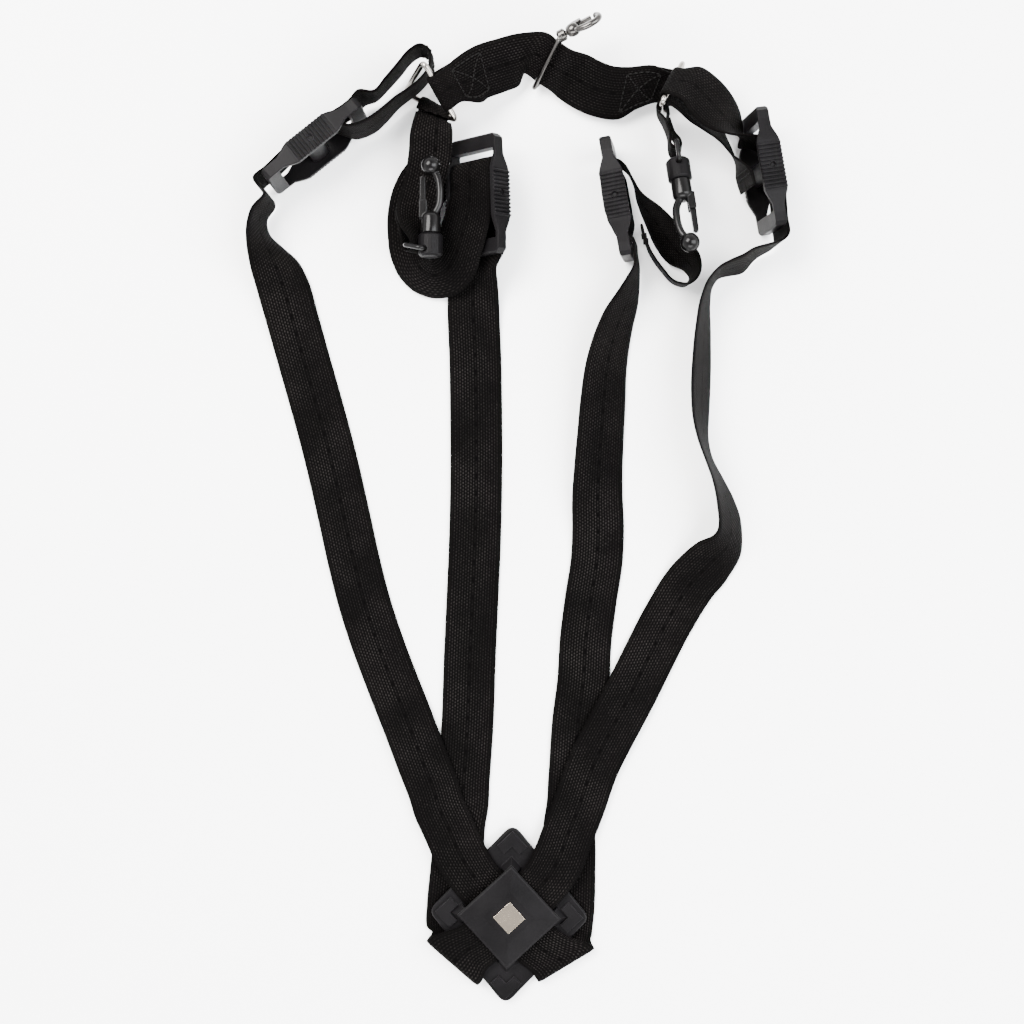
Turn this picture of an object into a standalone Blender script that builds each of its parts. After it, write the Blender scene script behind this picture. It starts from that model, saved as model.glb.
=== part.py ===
"""Crossing-strap body harness for a wind instrument, lying on its back.

Two shoulder straps cross inside a square back plate and come out as two under-arm straps.
Each of the four strap ends runs through an adjuster.  Two triangular rings join the shoulder
straps to a front cross strap, which carries a sliding metal snap hook, and to two short tabs
with plastic snap hooks that catch the under-arm loops.  Lengths are written in millimetres.
"""
import math

import bmesh
import bpy
from mathutils import Matrix, Vector

MM = 0.001
FIT = 0.3                      # gap between touching pieces
CENTRE_SHIFT = (-0.53, 0.72)      # moves the middle of the whole outline to the origin

# webbing
WEB = 25.0
TAB_WEB = 20.0
WEB_THICK = 1.2
ON_FLOOR = WEB_THICK / 2 + 0.15

# back plate, in its own frame: four corners on the x and y axes
PLATE = dict(centre=(-3.1, -192.5, 0), heading=-2.5, pitch=0, roll=0)
BASE_BOTTOM = 1.8
BASE_THICK = 2.6
BASE_TOP = BASE_BOTTOM + BASE_THICK
BASE_LONG = 43.6               # half diagonals
BASE_WIDE = 38.6
PAD_TOP = BASE_TOP + 1.1
PAD_REACH = 40.0
PAD_ARM = 7.2
PAD_BAND = 5.0                 # width of the raised band along a corner's two edges
LOWER_CROSSING = BASE_TOP + 0.4 + WEB_THICK / 2
UPPER_CROSSING = LOWER_CROSSING + WEB_THICK + 0.4
COVER_BOTTOM = UPPER_CROSSING + WEB_THICK / 2 + 0.4
COVER_EDGE = 2.2
COVER_CROWN = 1.0
COVER_HALF = 24.6
POST_INNER = 18.2              # where a post starts, leaving the slots as wide as the webbing
POST_FOOT = 29.5
SCREW = 0.9
SCREW_PLACE = 21.6
BADGE_HALF = 7.5
BADGE_THICK = 0.8

# adjusters: x along the strap, y across it, z out of the outer face
ADJUSTER_LENGTH = 56.0
ADJUSTER_WIDTH = 32.0
END_THICK = 5.5
GRIP_THICK = 11.0
GRIP_LENGTH = 22.0
WINDOW_LENGTH = 42.0
WINDOW_WIDTH = 26.4
CAM_LENGTH = 10.0
CAM_THICK = 5.0
CAM_PIN = 1.2
RIBS = 12
RIB_DEPTH = 0.8
UNDER = -5.3                   # strap level below the cam
BAR_LEVEL = 3.8                # strap level against an end bar
ADJUSTERS = {
    "left_shoulder": dict(centre=(-94.0, 172.0, 16.7), heading=38.5, pitch=0, roll=-86),
    "right_shoulder": dict(centre=(116.5, 160.1, 16.7), heading=-80.2, pitch=0, roll=-82),
    "left_underarm": dict(centre=(-17.9, 148.6, 15.2), heading=92.0, pitch=0, roll=42),
    "right_underarm": dict(centre=(47.8, 146.9, 16.7), heading=100.3, pitch=0, roll=-82),
}

# triangular rings
RING_WIRE = 1.3
RING_BEND = 2.5
LEFT_RING = {"front": (-42.5, 207.5, 33.0), "low": (-52.9, 201.2, 2.8), "tab": (-27.5, 183.6, 17.0)}
RIGHT_RING = {"front": (79.0, 212.0, 18.5), "low": (70.3, 190.2, 2.2), "tab": (67.5, 189.0, 33.0)}
WRAP = RING_WIRE + FIT + WEB_THICK / 2 + 0.1

# plastic snap hooks: x runs from the webbing end to the nose
HOOK_CAP = 11.0
HOOK_CAP_RADIUS = 5.7
HOOK_SLEEVE_RADIUS = 4.7
HOOK_SLEEVE_END = 21.3
HOOK_NOSE = 42.9
HOOK_NOSE_RADIUS = 4.6
HOOK_ARM = 1.8
SWIVEL_PIN = 2.0
BAIL_WIRE = 1.1
BAIL_PIVOT = 3.5
BAIL_LENGTH = 9.5
BAIL_HALF = 8.6
BAIL_WEB = 13.0                # the tab is gathered to this width in the bail
GATE_PIVOT = (24.2, 3.6)
GATE_PIN = 0.6
GATE_END = 38.0
HOOKS = {
    "left": dict(centre=(-39.6, 118.5, 25.0), heading=90.0, pitch=0, roll=-60, swing=103, face=60),
    "right": dict(centre=(75.8, 165.2, 19.4), heading=-83.5, pitch=17, roll=90, swing=0, face=-90),
}

# sliding metal hook on the cross strap
SLIDER = dict(centre=(15.4, 212.4, 14.2), heading=-33.0, pitch=0, roll=-46)
SLIDER_ENDS = (-14.3, 16.2)    # beyond the right and left edges of the strap
SLIDER_SHORT = 6.8
SLIDER_WIRE = 1.1
CLIP = dict(centre=(21.5, 221.8, 25.6), heading=26.0, pitch=8, roll=55)
CLIP_BOSS = 2.9
CLIP_STUD = 1.2
CLIP_WIRE = 1.5


# ---------------------------------------------------------------- scene and materials

def clear_scene():
    for obj in list(bpy.data.objects):
        bpy.data.objects.remove(obj, do_unlink=True)


def make_material(name, colour, roughness, metallic=0.0):
    mat = bpy.data.materials.new(name)
    mat.use_nodes = True
    shader = mat.node_tree.nodes["Principled BSDF"]
    shader.inputs["Base Color"].default_value = (*colour, 1.0)
    shader.inputs["Roughness"].default_value = roughness
    shader.inputs["Metallic"].default_value = metallic
    return mat


clear_scene()
MATERIALS = {
    "webbing": make_material("webbing", (0.018, 0.015, 0.013), 0.85),
    "plastic": make_material("plastic", (0.03, 0.03, 0.033), 0.5),
    "gloss_plastic": make_material("gloss_plastic", (0.012, 0.011, 0.011), 0.22),
    "nickel": make_material("nickel", (0.62, 0.60, 0.57), 0.2, 1.0),
}
PARTS = bpy.data.collections.new("instrument_harness")
CUTTERS = bpy.data.collections.new("cutters")
bpy.context.scene.collection.children.link(PARTS)
bpy.context.scene.collection.children.link(CUTTERS)


def turn(place):
    """Rotation of a frame: x along the heading, pitched up, then rolled with its right side up."""
    heading = Matrix.Rotation(math.radians(place["heading"]), 4, "Z")
    pitch = Matrix.Rotation(math.radians(-place["pitch"]), 4, "Y")
    roll = Matrix.Rotation(math.radians(-place["roll"]), 4, "X")
    return heading @ pitch @ roll


def add_empty(name, place, parent=None):
    empty = bpy.data.objects.new(name, None)
    PARTS.objects.link(empty)
    empty.parent = parent
    matrix = Matrix.Translation(Vector(place["centre"]) * MM) @ turn(place)
    empty.location = matrix.to_translation()
    empty.rotation_euler = matrix.to_euler()
    return empty


ROOT = add_empty("harness_frame", dict(centre=(*CENTRE_SHIFT, 0), heading=0, pitch=0, roll=0))


def add_object(name, data, material, parent=ROOT, location=(0, 0, 0)):
    obj = bpy.data.objects.new(name, data)
    PARTS.objects.link(obj)
    obj.parent = parent
    obj.location = Vector(location) * MM
    if material:
        data.materials.append(MATERIALS[material])
    return obj


def as_cutter(obj):
    PARTS.objects.unlink(obj)
    CUTTERS.objects.link(obj)
    obj.hide_render = True
    obj.display_type = "WIRE"
    return obj


def boolean(obj, other, operation):
    mod = obj.modifiers.new(operation.lower(), "BOOLEAN")
    mod.operation = operation
    mod.object = other
    return mod


def smooth(obj, angle=35):
    obj.data.shade_smooth()
    obj.data.set_sharp_from_angle(angle=math.radians(angle))


# ---------------------------------------------------------------- shapes

def box_mesh(name, size, centre=(0, 0, 0)):
    mesh = bpy.data.meshes.new(name)
    bm = bmesh.new()
    bmesh.ops.create_cube(bm, size=1.0)
    bmesh.ops.scale(bm, vec=Vector(size) * MM, verts=bm.verts)
    bmesh.ops.translate(bm, vec=Vector(centre) * MM, verts=bm.verts)
    bm.to_mesh(mesh)
    bm.free()
    return mesh


def cylinder_mesh(name, radius, length, axis="Z", sides=16, top_radius=None, centre=(0, 0, 0)):
    mesh = bpy.data.meshes.new(name)
    bm = bmesh.new()
    top = radius if top_radius is None else top_radius
    bmesh.ops.create_cone(bm, cap_ends=True, segments=sides, radius1=radius * MM,
                          radius2=top * MM, depth=length * MM)
    turns = {"Z": Matrix.Identity(4), "X": Matrix.Rotation(math.pi / 2, 4, "Y"),
             "Y": Matrix.Rotation(-math.pi / 2, 4, "X")}
    bmesh.ops.transform(bm, matrix=turns[axis], verts=bm.verts)
    bmesh.ops.translate(bm, vec=Vector(centre) * MM, verts=bm.verts)
    bm.to_mesh(mesh)
    bm.free()
    return mesh


def outline_mesh(name, outlines, thickness, bevel=0.0, matrix=None):
    """Closed flat outlines extruded to a thickness about their plane, as a mesh."""
    curve = bpy.data.curves.new(name, "CURVE")
    curve.dimensions = "2D"
    curve.fill_mode = "BOTH"
    curve.extrude = thickness / 2 * MM - bevel * MM
    curve.bevel_depth = bevel * MM
    curve.bevel_resolution = 0
    curve.offset = -bevel * MM
    for outline in outlines:
        spline = curve.splines.new("POLY")
        spline.points.add(len(outline) - 1)
        spline.use_cyclic_u = True
        for point, (x, y) in zip(spline.points, outline):
            point.co = (x * MM, y * MM, 0, 1)
    obj = bpy.data.objects.new(name, curve)
    bpy.context.scene.collection.objects.link(obj)
    return curve_to_mesh(obj, matrix)


def curve_to_mesh(obj, matrix=None):
    evaluated = obj.evaluated_get(bpy.context.evaluated_depsgraph_get())
    mesh = bpy.data.meshes.new_from_object(evaluated)
    bm = bmesh.new()
    bm.from_mesh(mesh)
    bmesh.ops.remove_doubles(bm, verts=bm.verts, dist=0.00001)
    if matrix:
        bmesh.ops.transform(bm, matrix=matrix, verts=bm.verts)
    bm.to_mesh(mesh)
    bm.free()
    bpy.data.objects.remove(obj, do_unlink=True)
    mesh.materials.clear()
    return mesh


def arc(centre, radius, start, end, count):
    """Points on an arc, angles in degrees."""
    points = []
    for i in range(count + 1):
        angle = math.radians(start + (end - start) * i / count)
        points.append((centre[0] + radius * math.cos(angle), centre[1] + radius * math.sin(angle)))
    return points


def rounded(corners, radius, count=3):
    """A closed outline through the corners, each rounded with an arc."""
    points = []
    total = len(corners)
    for i in range(total):
        here = Vector(corners[i])
        before = (Vector(corners[i - 1]) - here).normalized()
        after = (Vector(corners[(i + 1) % total]) - here).normalized()
        half = before.angle(after) / 2
        start = here + before * radius / math.tan(half)
        end = here + after * radius / math.tan(half)
        for step in range(count + 1):
            t = step / count
            points.append(tuple(start * (1 - t) ** 2 + here * 2 * t * (1 - t) + end * t ** 2))
    return points


def tube(name, points, radius, material, parent=ROOT, cyclic=False, sides=3):
    """A bent wire: a round section swept along a chain of points."""
    curve = bpy.data.curves.new(name, "CURVE")
    curve.dimensions = "3D"
    curve.bevel_depth = radius * MM
    curve.bevel_resolution = sides
    curve.use_fill_caps = True
    spline = curve.splines.new("POLY")
    spline.points.add(len(points) - 1)
    spline.use_cyclic_u = cyclic
    for point, place in zip(spline.points, points):
        point.co = (*(Vector(place) * MM), 1)
    return add_object(name, curve, material, parent)


def tube_mesh(name, points, radius, cyclic=False, sides=3):
    obj = tube(name, points, radius, None, None, cyclic, sides)
    return curve_to_mesh(obj)


def turned_mesh(name, profile, steps=24):
    """A solid turned about x; profile is (x, radius) from the first end to the last."""
    mesh = bpy.data.meshes.new(name)
    bm = bmesh.new()
    rows = []
    for x, radius in profile:
        row = []
        for i in range(steps):
            angle = 2 * math.pi * i / steps
            row.append(bm.verts.new((x * MM, radius * math.cos(angle) * MM, radius * math.sin(angle) * MM)))
        rows.append(row)
    for first, second in zip(rows, rows[1:]):
        for i in range(steps):
            j = (i + 1) % steps
            bm.faces.new((first[i], first[j], second[j], second[i]))
    bm.faces.new(rows[0])
    bm.faces.new(rows[-1])
    bmesh.ops.recalc_face_normals(bm, faces=bm.faces)
    bm.to_mesh(mesh)
    bm.free()
    return mesh


# ---------------------------------------------------------------- webbing

def rung(x, y, z, side, lift=0.0, width=WEB):
    """One cross line of a strap: its middle, the plan angle of its right edge and that edge's lift."""
    angle = math.radians(side)
    rise = math.radians(lift)
    across = Vector((math.cos(rise) * math.cos(angle), math.cos(rise) * math.sin(angle), math.sin(rise)))
    middle = Vector((x, y, z))
    return middle - across * width / 2, middle + across * width / 2


def standing(x, y, side, lift, width=WEB):
    """A cross line whose lower edge rests on the floor."""
    z = ON_FLOOR + 0.25 + width / 2 * abs(math.sin(math.radians(lift)))
    return rung(x, y, z, side, lift, width)


def seat(place, x, z, width=WEB):
    """A cross line across a part's own frame."""
    matrix = turn(place)
    middle = Vector(place["centre"]) + matrix @ Vector((x, 0, z))
    across = matrix @ Vector((0, -1, 0))
    return middle - across * width / 2, middle + across * width / 2


def middle_of(pair):
    return (pair[0] + pair[1]) / 2


def across_of(pair):
    return (pair[1] - pair[0]).normalized()


def shifted(pair, offset):
    return pair[0] + offset, pair[1] + offset


def bend(middle, across, outward, upward, radius, start, end, count, width):
    """Cross lines on an arc about the line through middle; angle 0 is outward, 90 is upward."""
    rungs = []
    for i in range(count + 1):
        angle = math.radians(start + (end - start) * i / count)
        centre = middle + (outward * math.cos(angle) + upward * math.sin(angle)) * radius
        rungs.append((centre - across * width / 2, centre + across * width / 2))
    return rungs


def square_to(direction, across):
    return (direction - across * direction.dot(across)).normalized()


def bar_of(left_end, right_end, width, shift=0.0):
    """A cross line on a ring's bar, left end first, shifted along the bar from its middle."""
    left_end = Vector(left_end)
    right_end = Vector(right_end)
    across = (right_end - left_end).normalized()
    middle = (left_end + right_end) / 2 + across * shift
    return middle - across * width / 2, middle + across * width / 2


def folded(x, y, side, toward, top, bottom, width):
    """A strap turned under itself along a line on the floor; toward is the plan angle of the fold."""
    across = Vector((math.cos(math.radians(side)), math.sin(math.radians(side)), 0))
    outward = square_to(Vector((math.cos(math.radians(toward)), math.sin(math.radians(toward)), 0)), across)
    bottom = bottom + 0.3
    middle = Vector((x, y, (top + bottom) / 2))
    return bend(middle, across, outward, Vector((0, 0, 1)), (top - bottom) / 2, 90, -90, 6, width)


def doubled(bars, between, apart, flip=1):
    """Cross lines of a strap sewn into a long flat loop round two bars."""
    line = [bars[0], *between, bars[1]]
    normals = []
    for i, pair in enumerate(line):
        ahead = middle_of(line[min(i + 1, len(line) - 1)]) - middle_of(line[max(i - 1, 0)])
        normals.append(ahead.cross(across_of(pair)).normalized() * -flip)
    above = [shifted(p, n * apart) for p, n in zip(line, normals)][1:-1]
    below = [shifted(p, -n * apart) for p, n in zip(line, normals)][1:-1][::-1]
    turns = []
    for here, there, normal, order in ((0, 1, normals[0], (-90, 90)), (-1, -2, normals[-1], (90, -90))):
        across = across_of(line[here])
        away = square_to(middle_of(line[here]) - middle_of(line[there]), across)
        up = square_to(normal, away)
        width = (line[here][1] - line[here][0]).length
        turns.append(bend(middle_of(line[here]), across, away, up, WRAP, *order, 6, width))
    ends = middle_of(below[-1])
    first = shifted(below[-1], (middle_of(turns[0][0]) - ends) * 0.3)
    return [first, *turns[0], *above, *turns[1], *below]


def spread(rungs, steps):
    """Rungs refined along a smooth curve through both strap edges."""
    gaps = [(middle_of(b) - middle_of(a)).length for a, b in zip(rungs, rungs[1:])]
    slopes = [[(e - s) / gap for s, e in zip(a, b)] for a, b, gap in zip(rungs, rungs[1:], gaps)]
    tangents = [slopes[0]]
    for i in range(1, len(rungs) - 1):
        before, after = gaps[i - 1], gaps[i]
        tangents.append([(s * after + e * before) / (before + after) for s, e in zip(slopes[i - 1], slopes[i])])
    tangents.append(slopes[-1])
    fine = []
    for i, gap in enumerate(gaps):
        for step in range(steps):
            t = step / steps
            pair = []
            for edge in (0, 1):
                start = rungs[i][edge] * (2 * t ** 3 - 3 * t * t + 1) + rungs[i + 1][edge] * (3 * t * t - 2 * t ** 3)
                lean = tangents[i][edge] * (t ** 3 - 2 * t * t + t) + tangents[i + 1][edge] * (t ** 3 - t * t)
                pair.append(start + lean * gap)
            fine.append(tuple(pair))
    fine.append(rungs[-1])
    return fine


def strap(name, rungs, steps=2):
    """A webbing strap: an open surface through the rungs, thickened."""
    mesh = bpy.data.meshes.new(name)
    bm = bmesh.new()
    rows = [[bm.verts.new(p * MM) for p in pair] for pair in spread(rungs, steps)]
    for first, second in zip(rows, rows[1:]):
        bm.faces.new((first[0], first[1], second[1], second[0]))
    bm.to_mesh(mesh)
    bm.free()
    obj = add_object(name, mesh, "webbing")
    mod = obj.modifiers.new("thickness", "SOLIDIFY")
    mod.thickness = WEB_THICK * MM
    mod.offset = 0.0
    mod.use_even_offset = False
    smooth(obj)
    return obj


def crossing_straps():
    low = LOWER_CROSSING
    strap("crossing_strap_lower", [
        rung(-37.7, -138.3, 2.6, 202), rung(-32.0, -151.5, 3.2, 206), rung(-25.8, -164.6, 5.2, 212),
        rung(-18.4, -175.8, low, 221, 0, 24), rung(-13.2, -181.5, low, 222.5, 0, 23.8),
        rung(-3.1, -192.5, low, 222.5, 0, 23.8), rung(7.0, -203.5, low, 222.5, 0, 23.8),
        rung(11.2, -207.6, low, 221, 0, 24), rung(17.6, -211.6, low, 217, 0, 26),
        *folded(23.2, -214.9, 211, -59, low, ON_FLOOR, 31), rung(24.4, -207.0, ON_FLOOR, 199, 0, 26),
        rung(25.4, -192.0, ON_FLOOR, 183), rung(26.0, -165.0, ON_FLOOR, 178),
        rung(26.5, -146.0, ON_FLOOR, 177)])
    high = UPPER_CROSSING
    strap("crossing_strap_upper", [
        rung(31.6, -137.5, 2.6, 161), rung(25.5, -153.0, 3.6, 156), rung(19.4, -167.6, 6.4, 148),
        rung(13.0, -177.2, high, 136, 0, 24), rung(8.0, -182.3, high, 132.5, 0, 23.8),
        rung(-3.1, -192.5, high, 132.5, 0, 23.8), rung(-14.2, -202.7, high, 132.5, 0, 23.8),
        rung(-18.2, -206.0, high, 133.5, 0, 24), rung(-24.0, -209.2, high, 137, 0, 27),
        *folded(-28.4, -213.3, 139, 229, high, ON_FLOOR, 32), rung(-31.2, -205.0, ON_FLOOR, 152, 0, 26),
        rung(-30.2, -190.0, ON_FLOOR, 171), rung(-27.8, -165.0, ON_FLOOR, 174),
        rung(-26.3, -146.0, ON_FLOOR, 176)])


def left_shoulder_strap():
    place = ADJUSTERS["left_shoulder"]
    strap("left_shoulder_strap", [
        rung(-37.8, -137.9, 2.6, 22), rung(-44.5, -119.5, 2.6, 19.5), rung(-51.5, -101.0, 2.2, 21.5),
        rung(-59.5, -81.0, 0.9, 21.5), rung(-66.8, -61.5, ON_FLOOR, 18.5), rung(-73.0, -42.0, ON_FLOOR, 16),
        rung(-78.0, -22.0, ON_FLOOR, 12.5), rung(-82.0, -3.8, ON_FLOOR, 12), rung(-86.3, 15.4, ON_FLOOR, 13.5),
        rung(-91.0, 34.6, ON_FLOOR, 14), rung(-96.3, 54.0, ON_FLOOR, 15.5), rung(-101.7, 73.0, ON_FLOOR, 15.4),
        standing(-107.0, 92.3, 15, -3), standing(-111.5, 108.5, 13, -12), standing(-115.4, 119.5, 8, -34),
        standing(-119.0, 127.0, 0, -56), standing(-121.6, 133.5, -12, -72), standing(-121.2, 140.5, -32, -80),
        rung(-116.2, 148.0, 14.2, -46, -84),
        seat(place, -32, -3.4), seat(place, -25, -BAR_LEVEL), seat(place, -12, -5.0), seat(place, 0, UNDER),
        seat(place, 6, -5.2)])


def right_shoulder_strap():
    place = ADJUSTERS["right_shoulder"]
    strap("right_shoulder_strap", [
        rung(31.7, -137.2, 2.6, -19), rung(36.8, -122.5, 2.6, -23), rung(45.5, -105.0, 2.6, -28),
        rung(55.1, -87.0, 2.4, -28), rung(63.4, -70.5, 1.4, -28), rung(73.0, -52.0, 0.7, -33),
        standing(84.6, -33.4, -40, -5), standing(94.0, -23.0, -46, -22), standing(100.6, -15.0, -28, -46),
        standing(101.6, -6.0, 4, -58), standing(99.6, 4.3, 12, -64), standing(95.8, 15.1, 18, -72),
        standing(91.5, 25.0, 20, -76), standing(88.7, 35.0, 12, -72), standing(87.7, 45.5, 4, -66),
        standing(87.7, 58.0, 0, -63), standing(88.2, 73.0, -2, -64), standing(88.9, 88.0, -3, -68),
        standing(89.9, 100.0, -6, -74), standing(92.2, 108.4, -20, -80), standing(96.4, 113.4, -50, -82),
        standing(101.8, 115.6, -66, -79), standing(107.4, 117.4, -60, -76), rung(112.0, 121.4, 13.6, -34, -80),
        seat(place, 32, -3.4), seat(place, 25, -BAR_LEVEL), seat(place, 12, -5.0), seat(place, 0, UNDER),
        seat(place, -6, -5.2)])


def left_underarm_strap():
    place = ADJUSTERS["left_underarm"]
    strap("left_underarm_strap", [
        rung(-26.2, -145.6, ON_FLOOR, -3), rung(-24.9, -129.0, ON_FLOOR, -3), rung(-23.0, -100.0, ON_FLOOR, -2),
        rung(-22.0, -71.0, ON_FLOOR, -2), rung(-20.7, -42.0, ON_FLOOR, -3), rung(-19.5, -13.5, ON_FLOOR, -2),
        rung(-19.0, 5.8, ON_FLOOR, 0), rung(-19.0, 53.8, ON_FLOOR, 0), rung(-19.4, 76.0, ON_FLOOR, 3),
        standing(-20.0, 90.0, 4, 2), standing(-20.3, 100.5, 4, 8), rung(-20.2, 108.0, 5.6, 4, 20),
        rung(-19.4, 114.2, 9.2, 3, 34),
        seat(place, -26, -BAR_LEVEL), seat(place, -12, -5.0), seat(place, 0, UNDER), seat(place, 8, -4.9),
        seat(place, 13, -4.4), seat(place, 15.4, -3.4)])


def right_underarm_strap():
    place = ADJUSTERS["right_underarm"]
    strap("right_underarm_strap", [
        rung(26.6, -145.6, ON_FLOOR, -4), rung(28.1, -129.0, ON_FLOOR, -4), rung(30.1, -100.0, ON_FLOOR, -4),
        rung(32.5, -80.8, ON_FLOOR, -4), rung(33.7, -61.5, ON_FLOOR, -5), rung(36.1, -42.3, ON_FLOOR, -7),
        rung(39.0, -23.0, ON_FLOOR, -4), standing(39.6, -8.0, 1, -3), standing(39.2, 6.0, 0, -11),
        standing(39.6, 21.0, -3, -20), standing(40.6, 37.0, -4, -25), standing(41.8, 54.0, -6, -29),
        standing(43.2, 69.0, -10, -36), standing(45.9, 82.0, -15, -44), standing(49.2, 92.3, -20, -52),
        standing(53.0, 101.0, -18, -62), standing(55.6, 109.0, -6, -72), rung(57.2, 115.6, 14.4, 8, -80),
        seat(place, -25, 4.1), seat(place, -20.5, 4.4), seat(place, -17.2, 2.0),
        seat(place, -14, -2.4), seat(place, -9, -5.0), seat(place, 0, -5.6), seat(place, 8, -5.1), seat(place, 13, -4.4), seat(place, 15.4, -3.4)])


def left_underarm_loop():
    place = ADJUSTERS["left_underarm"]
    strap("left_underarm_loop", [
        seat(place, 16.1, -2.8), seat(place, 17.0, -0.4), seat(place, 16.2, 2.4), seat(place, 13.4, 4.2),
        seat(place, 4, 4.6), seat(place, -10, 4.6), seat(place, -19, 5.6), seat(place, -25, 7.4),
        rung(-20.4, 116.6, 18.2, -2, 20), rung(-21.0, 110.8, 17.0, -8, -12), rung(-24.2, 106.6, 15.4, -26, -38),
        rung(-30.0, 104.6, 14.2, -54, -56), rung(-37.2, 104.6, 13.2, -80, -62),
        rung(-44.6, 107.0, 12.4, -102, -66), rung(-50.6, 109.8, 11.6, -128, -62),
        rung(-55.0, 115.2, 8.8, -158, -40), rung(-55.6, 123.0, 4.4, -174, -17),
        rung(-54.2, 132.5, 2.2, 178, -5), rung(-52.0, 142.5, 1.6, 170, 0), rung(-48.8, 152.0, 1.6, 158, 0),
        rung(-42.6, 160.0, 1.6, 140, 0), rung(-34.5, 164.6, 1.6, 112, 0)], 3)


def right_underarm_loop():
    place = ADJUSTERS["right_underarm"]
    strap("right_underarm_loop", [
        seat(place, 16.1, -2.8), seat(place, 17.2, -0.2), seat(place, 16.8, 3.4), seat(place, 13.6, 6.6),
        seat(place, 8.0, 8.6), rung(58.4, 148.2, 15.0, -70, -88), rung(65.0, 139.8, 14.0, 216, -75),
        rung(71.8, 130.2, 12.4, 220, -63, 24.5), rung(78.6, 121.8, 12.6, 214, -64, 24.5), rung(83.4, 116.8, 13.2, 196, -76),
        rung(84.6, 111.6, 13.4, 156, -84), rung(81.2, 107.6, 13.4, 100, -86), rung(75.4, 108.4, 13.2, 58, -84),
        rung(69.2, 114.6, 13.2, 44, -84), rung(63.2, 123.6, 13.4, 37, -84), rung(61.0, 129.6, 13.6, 32, -84),
        rung(59.6, 134.6, 13.8, 26, -84)])


def left_front_loop():
    place = ADJUSTERS["left_shoulder"]
    strap("left_front_loop", [
        seat(place, 7.0, -5.1), seat(place, 11.5, -3.6), seat(place, 14.6, 0.6), seat(place, 17.6, 5.2),
        seat(place, 22.5, 7.6), seat(place, 28.0, 8.6), rung(-61.4, 187.2, 17.4, -52, -87, 23.5),
        rung(-55.6, 192.6, 18.0, -50, -89, 22), rung(-50.2, 196.4, 18.4, -50, -90, 21),
        rung(-45.2, 200.4, 18.4, -46, -90, 21), rung(-41.4, 205.0, 18.4, -30, -90, 21),
        rung(-39.4, 210.4, 18.2, -10, -90, 22), rung(-40.4, 215.0, 18.0, 40, -90, 23),
        rung(-44.6, 217.0, 17.8, 92, -90, 23), rung(-49.2, 214.6, 17.6, 130, -90, 23),
        rung(-54.4, 208.6, 17.4, 132, -90, 24), rung(-60.4, 201.8, 17.2, 132, -89, 24.5),
        rung(-66.8, 195.6, 16.8, 130, -88), seat(place, 31.5, -4.6), seat(place, 25.0, -BAR_LEVEL),
        seat(place, 20.0, -BAR_LEVEL), seat(place, 15.4, -4.4)])


def right_front_loop():
    place = ADJUSTERS["right_shoulder"]
    bar = bar_of(RIGHT_RING["tab"], RIGHT_RING["front"], 18.0, -2.0)
    across = across_of(bar)
    away = square_to(Vector((-0.8, 0.5, 0)), across)
    up = away.cross(across)
    if up.z < 0:
        up = -up
    strap("right_front_loop", [
        seat(place, -7.0, -5.1), seat(place, -11.5, -3.4), seat(place, -14.2, 1.2), seat(place, -15.6, 6.0),
        seat(place, -19.5, 8.8), seat(place, -24.5, 11.0), rung(96.2, 189.4, 18.8, 44, -64),
        rung(88.0, 196.0, 22.4, 54, -46, 24.5), rung(80.8, 200.0, 25.6, 62, -33, 22.5),
        *bend(middle_of(bar), across, away, up, WRAP, 90, -90, 6, 18.0),
        rung(79.6, 194.6, 20.6, 60, -38, 22), rung(86.4, 189.2, 18.0, 52, -54, 23.5),
        rung(93.0, 182.6, 16.2, 44, -68), rung(98.8, 175.0, 15.4, 34, -77), rung(103.4, 166.6, 15.6, 22, -81),
        seat(place, 0.0, 9.6), seat(place, 7.0, 8.6)])


def cross_strap():
    left = bar_of(LEFT_RING["front"], LEFT_RING["tab"], 17.5)
    right = bar_of(RIGHT_RING["front"], RIGHT_RING["low"], 16.0)
    rungs = []
    for bar, ahead, order in ((left, Vector((0.85, 0.52, -0.1)), (-90, 90)), (right, Vector((-0.95, -0.25, 0)), (90, -90))):
        across = across_of(bar)
        inward = square_to(ahead, across)
        up = inward.cross(across)
        if up.z < 0:
            up = -up
        width = (bar[1] - bar[0]).length
        turns = bend(middle_of(bar), across, -inward, up, WRAP, *order, 6, width)
        below = [shifted(bar, inward * 13.5 - up * 0.9), shifted(bar, inward * 6.0 - up * 1.9)]
        above = [shifted(bar, inward * 6.0 + up * 1.9), shifted(bar, inward * 13.5 + up * 0.9)]
        if bar is left:
            rungs += below + turns + above
        else:
            tail = above[::-1] + turns + below[::-1]
    rungs += [
        rung(-16.0, 206.6, 18.6, -73, -28), rung(-6.6, 210.6, 15.6, -80, -28), rung(2.6, 214.2, 13.4, -94, -34),
        seat(SLIDER, -8, 0), seat(SLIDER, 0, 0), seat(SLIDER, 7, 0),
        rung(27.6, 206.6, 9.6, -126, -28), rung(34.4, 203.0, 8.4, -119, -16), rung(42.0, 200.0, 8.6, -111, -14),
        rung(51.0, 198.8, 9.8, -103, -20)]
    strap("cross_strap", rungs + tail)


def bail_bar(side, width):
    """The cross line of a hook's bail bar, left end first."""
    place = HOOKS[side]
    swing = math.radians(place["swing"])
    x = BAIL_PIVOT - BAIL_LENGTH * math.cos(swing)
    z = -BAIL_LENGTH * math.sin(swing)
    pair = seat(place, x, z, width)
    return pair


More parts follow.
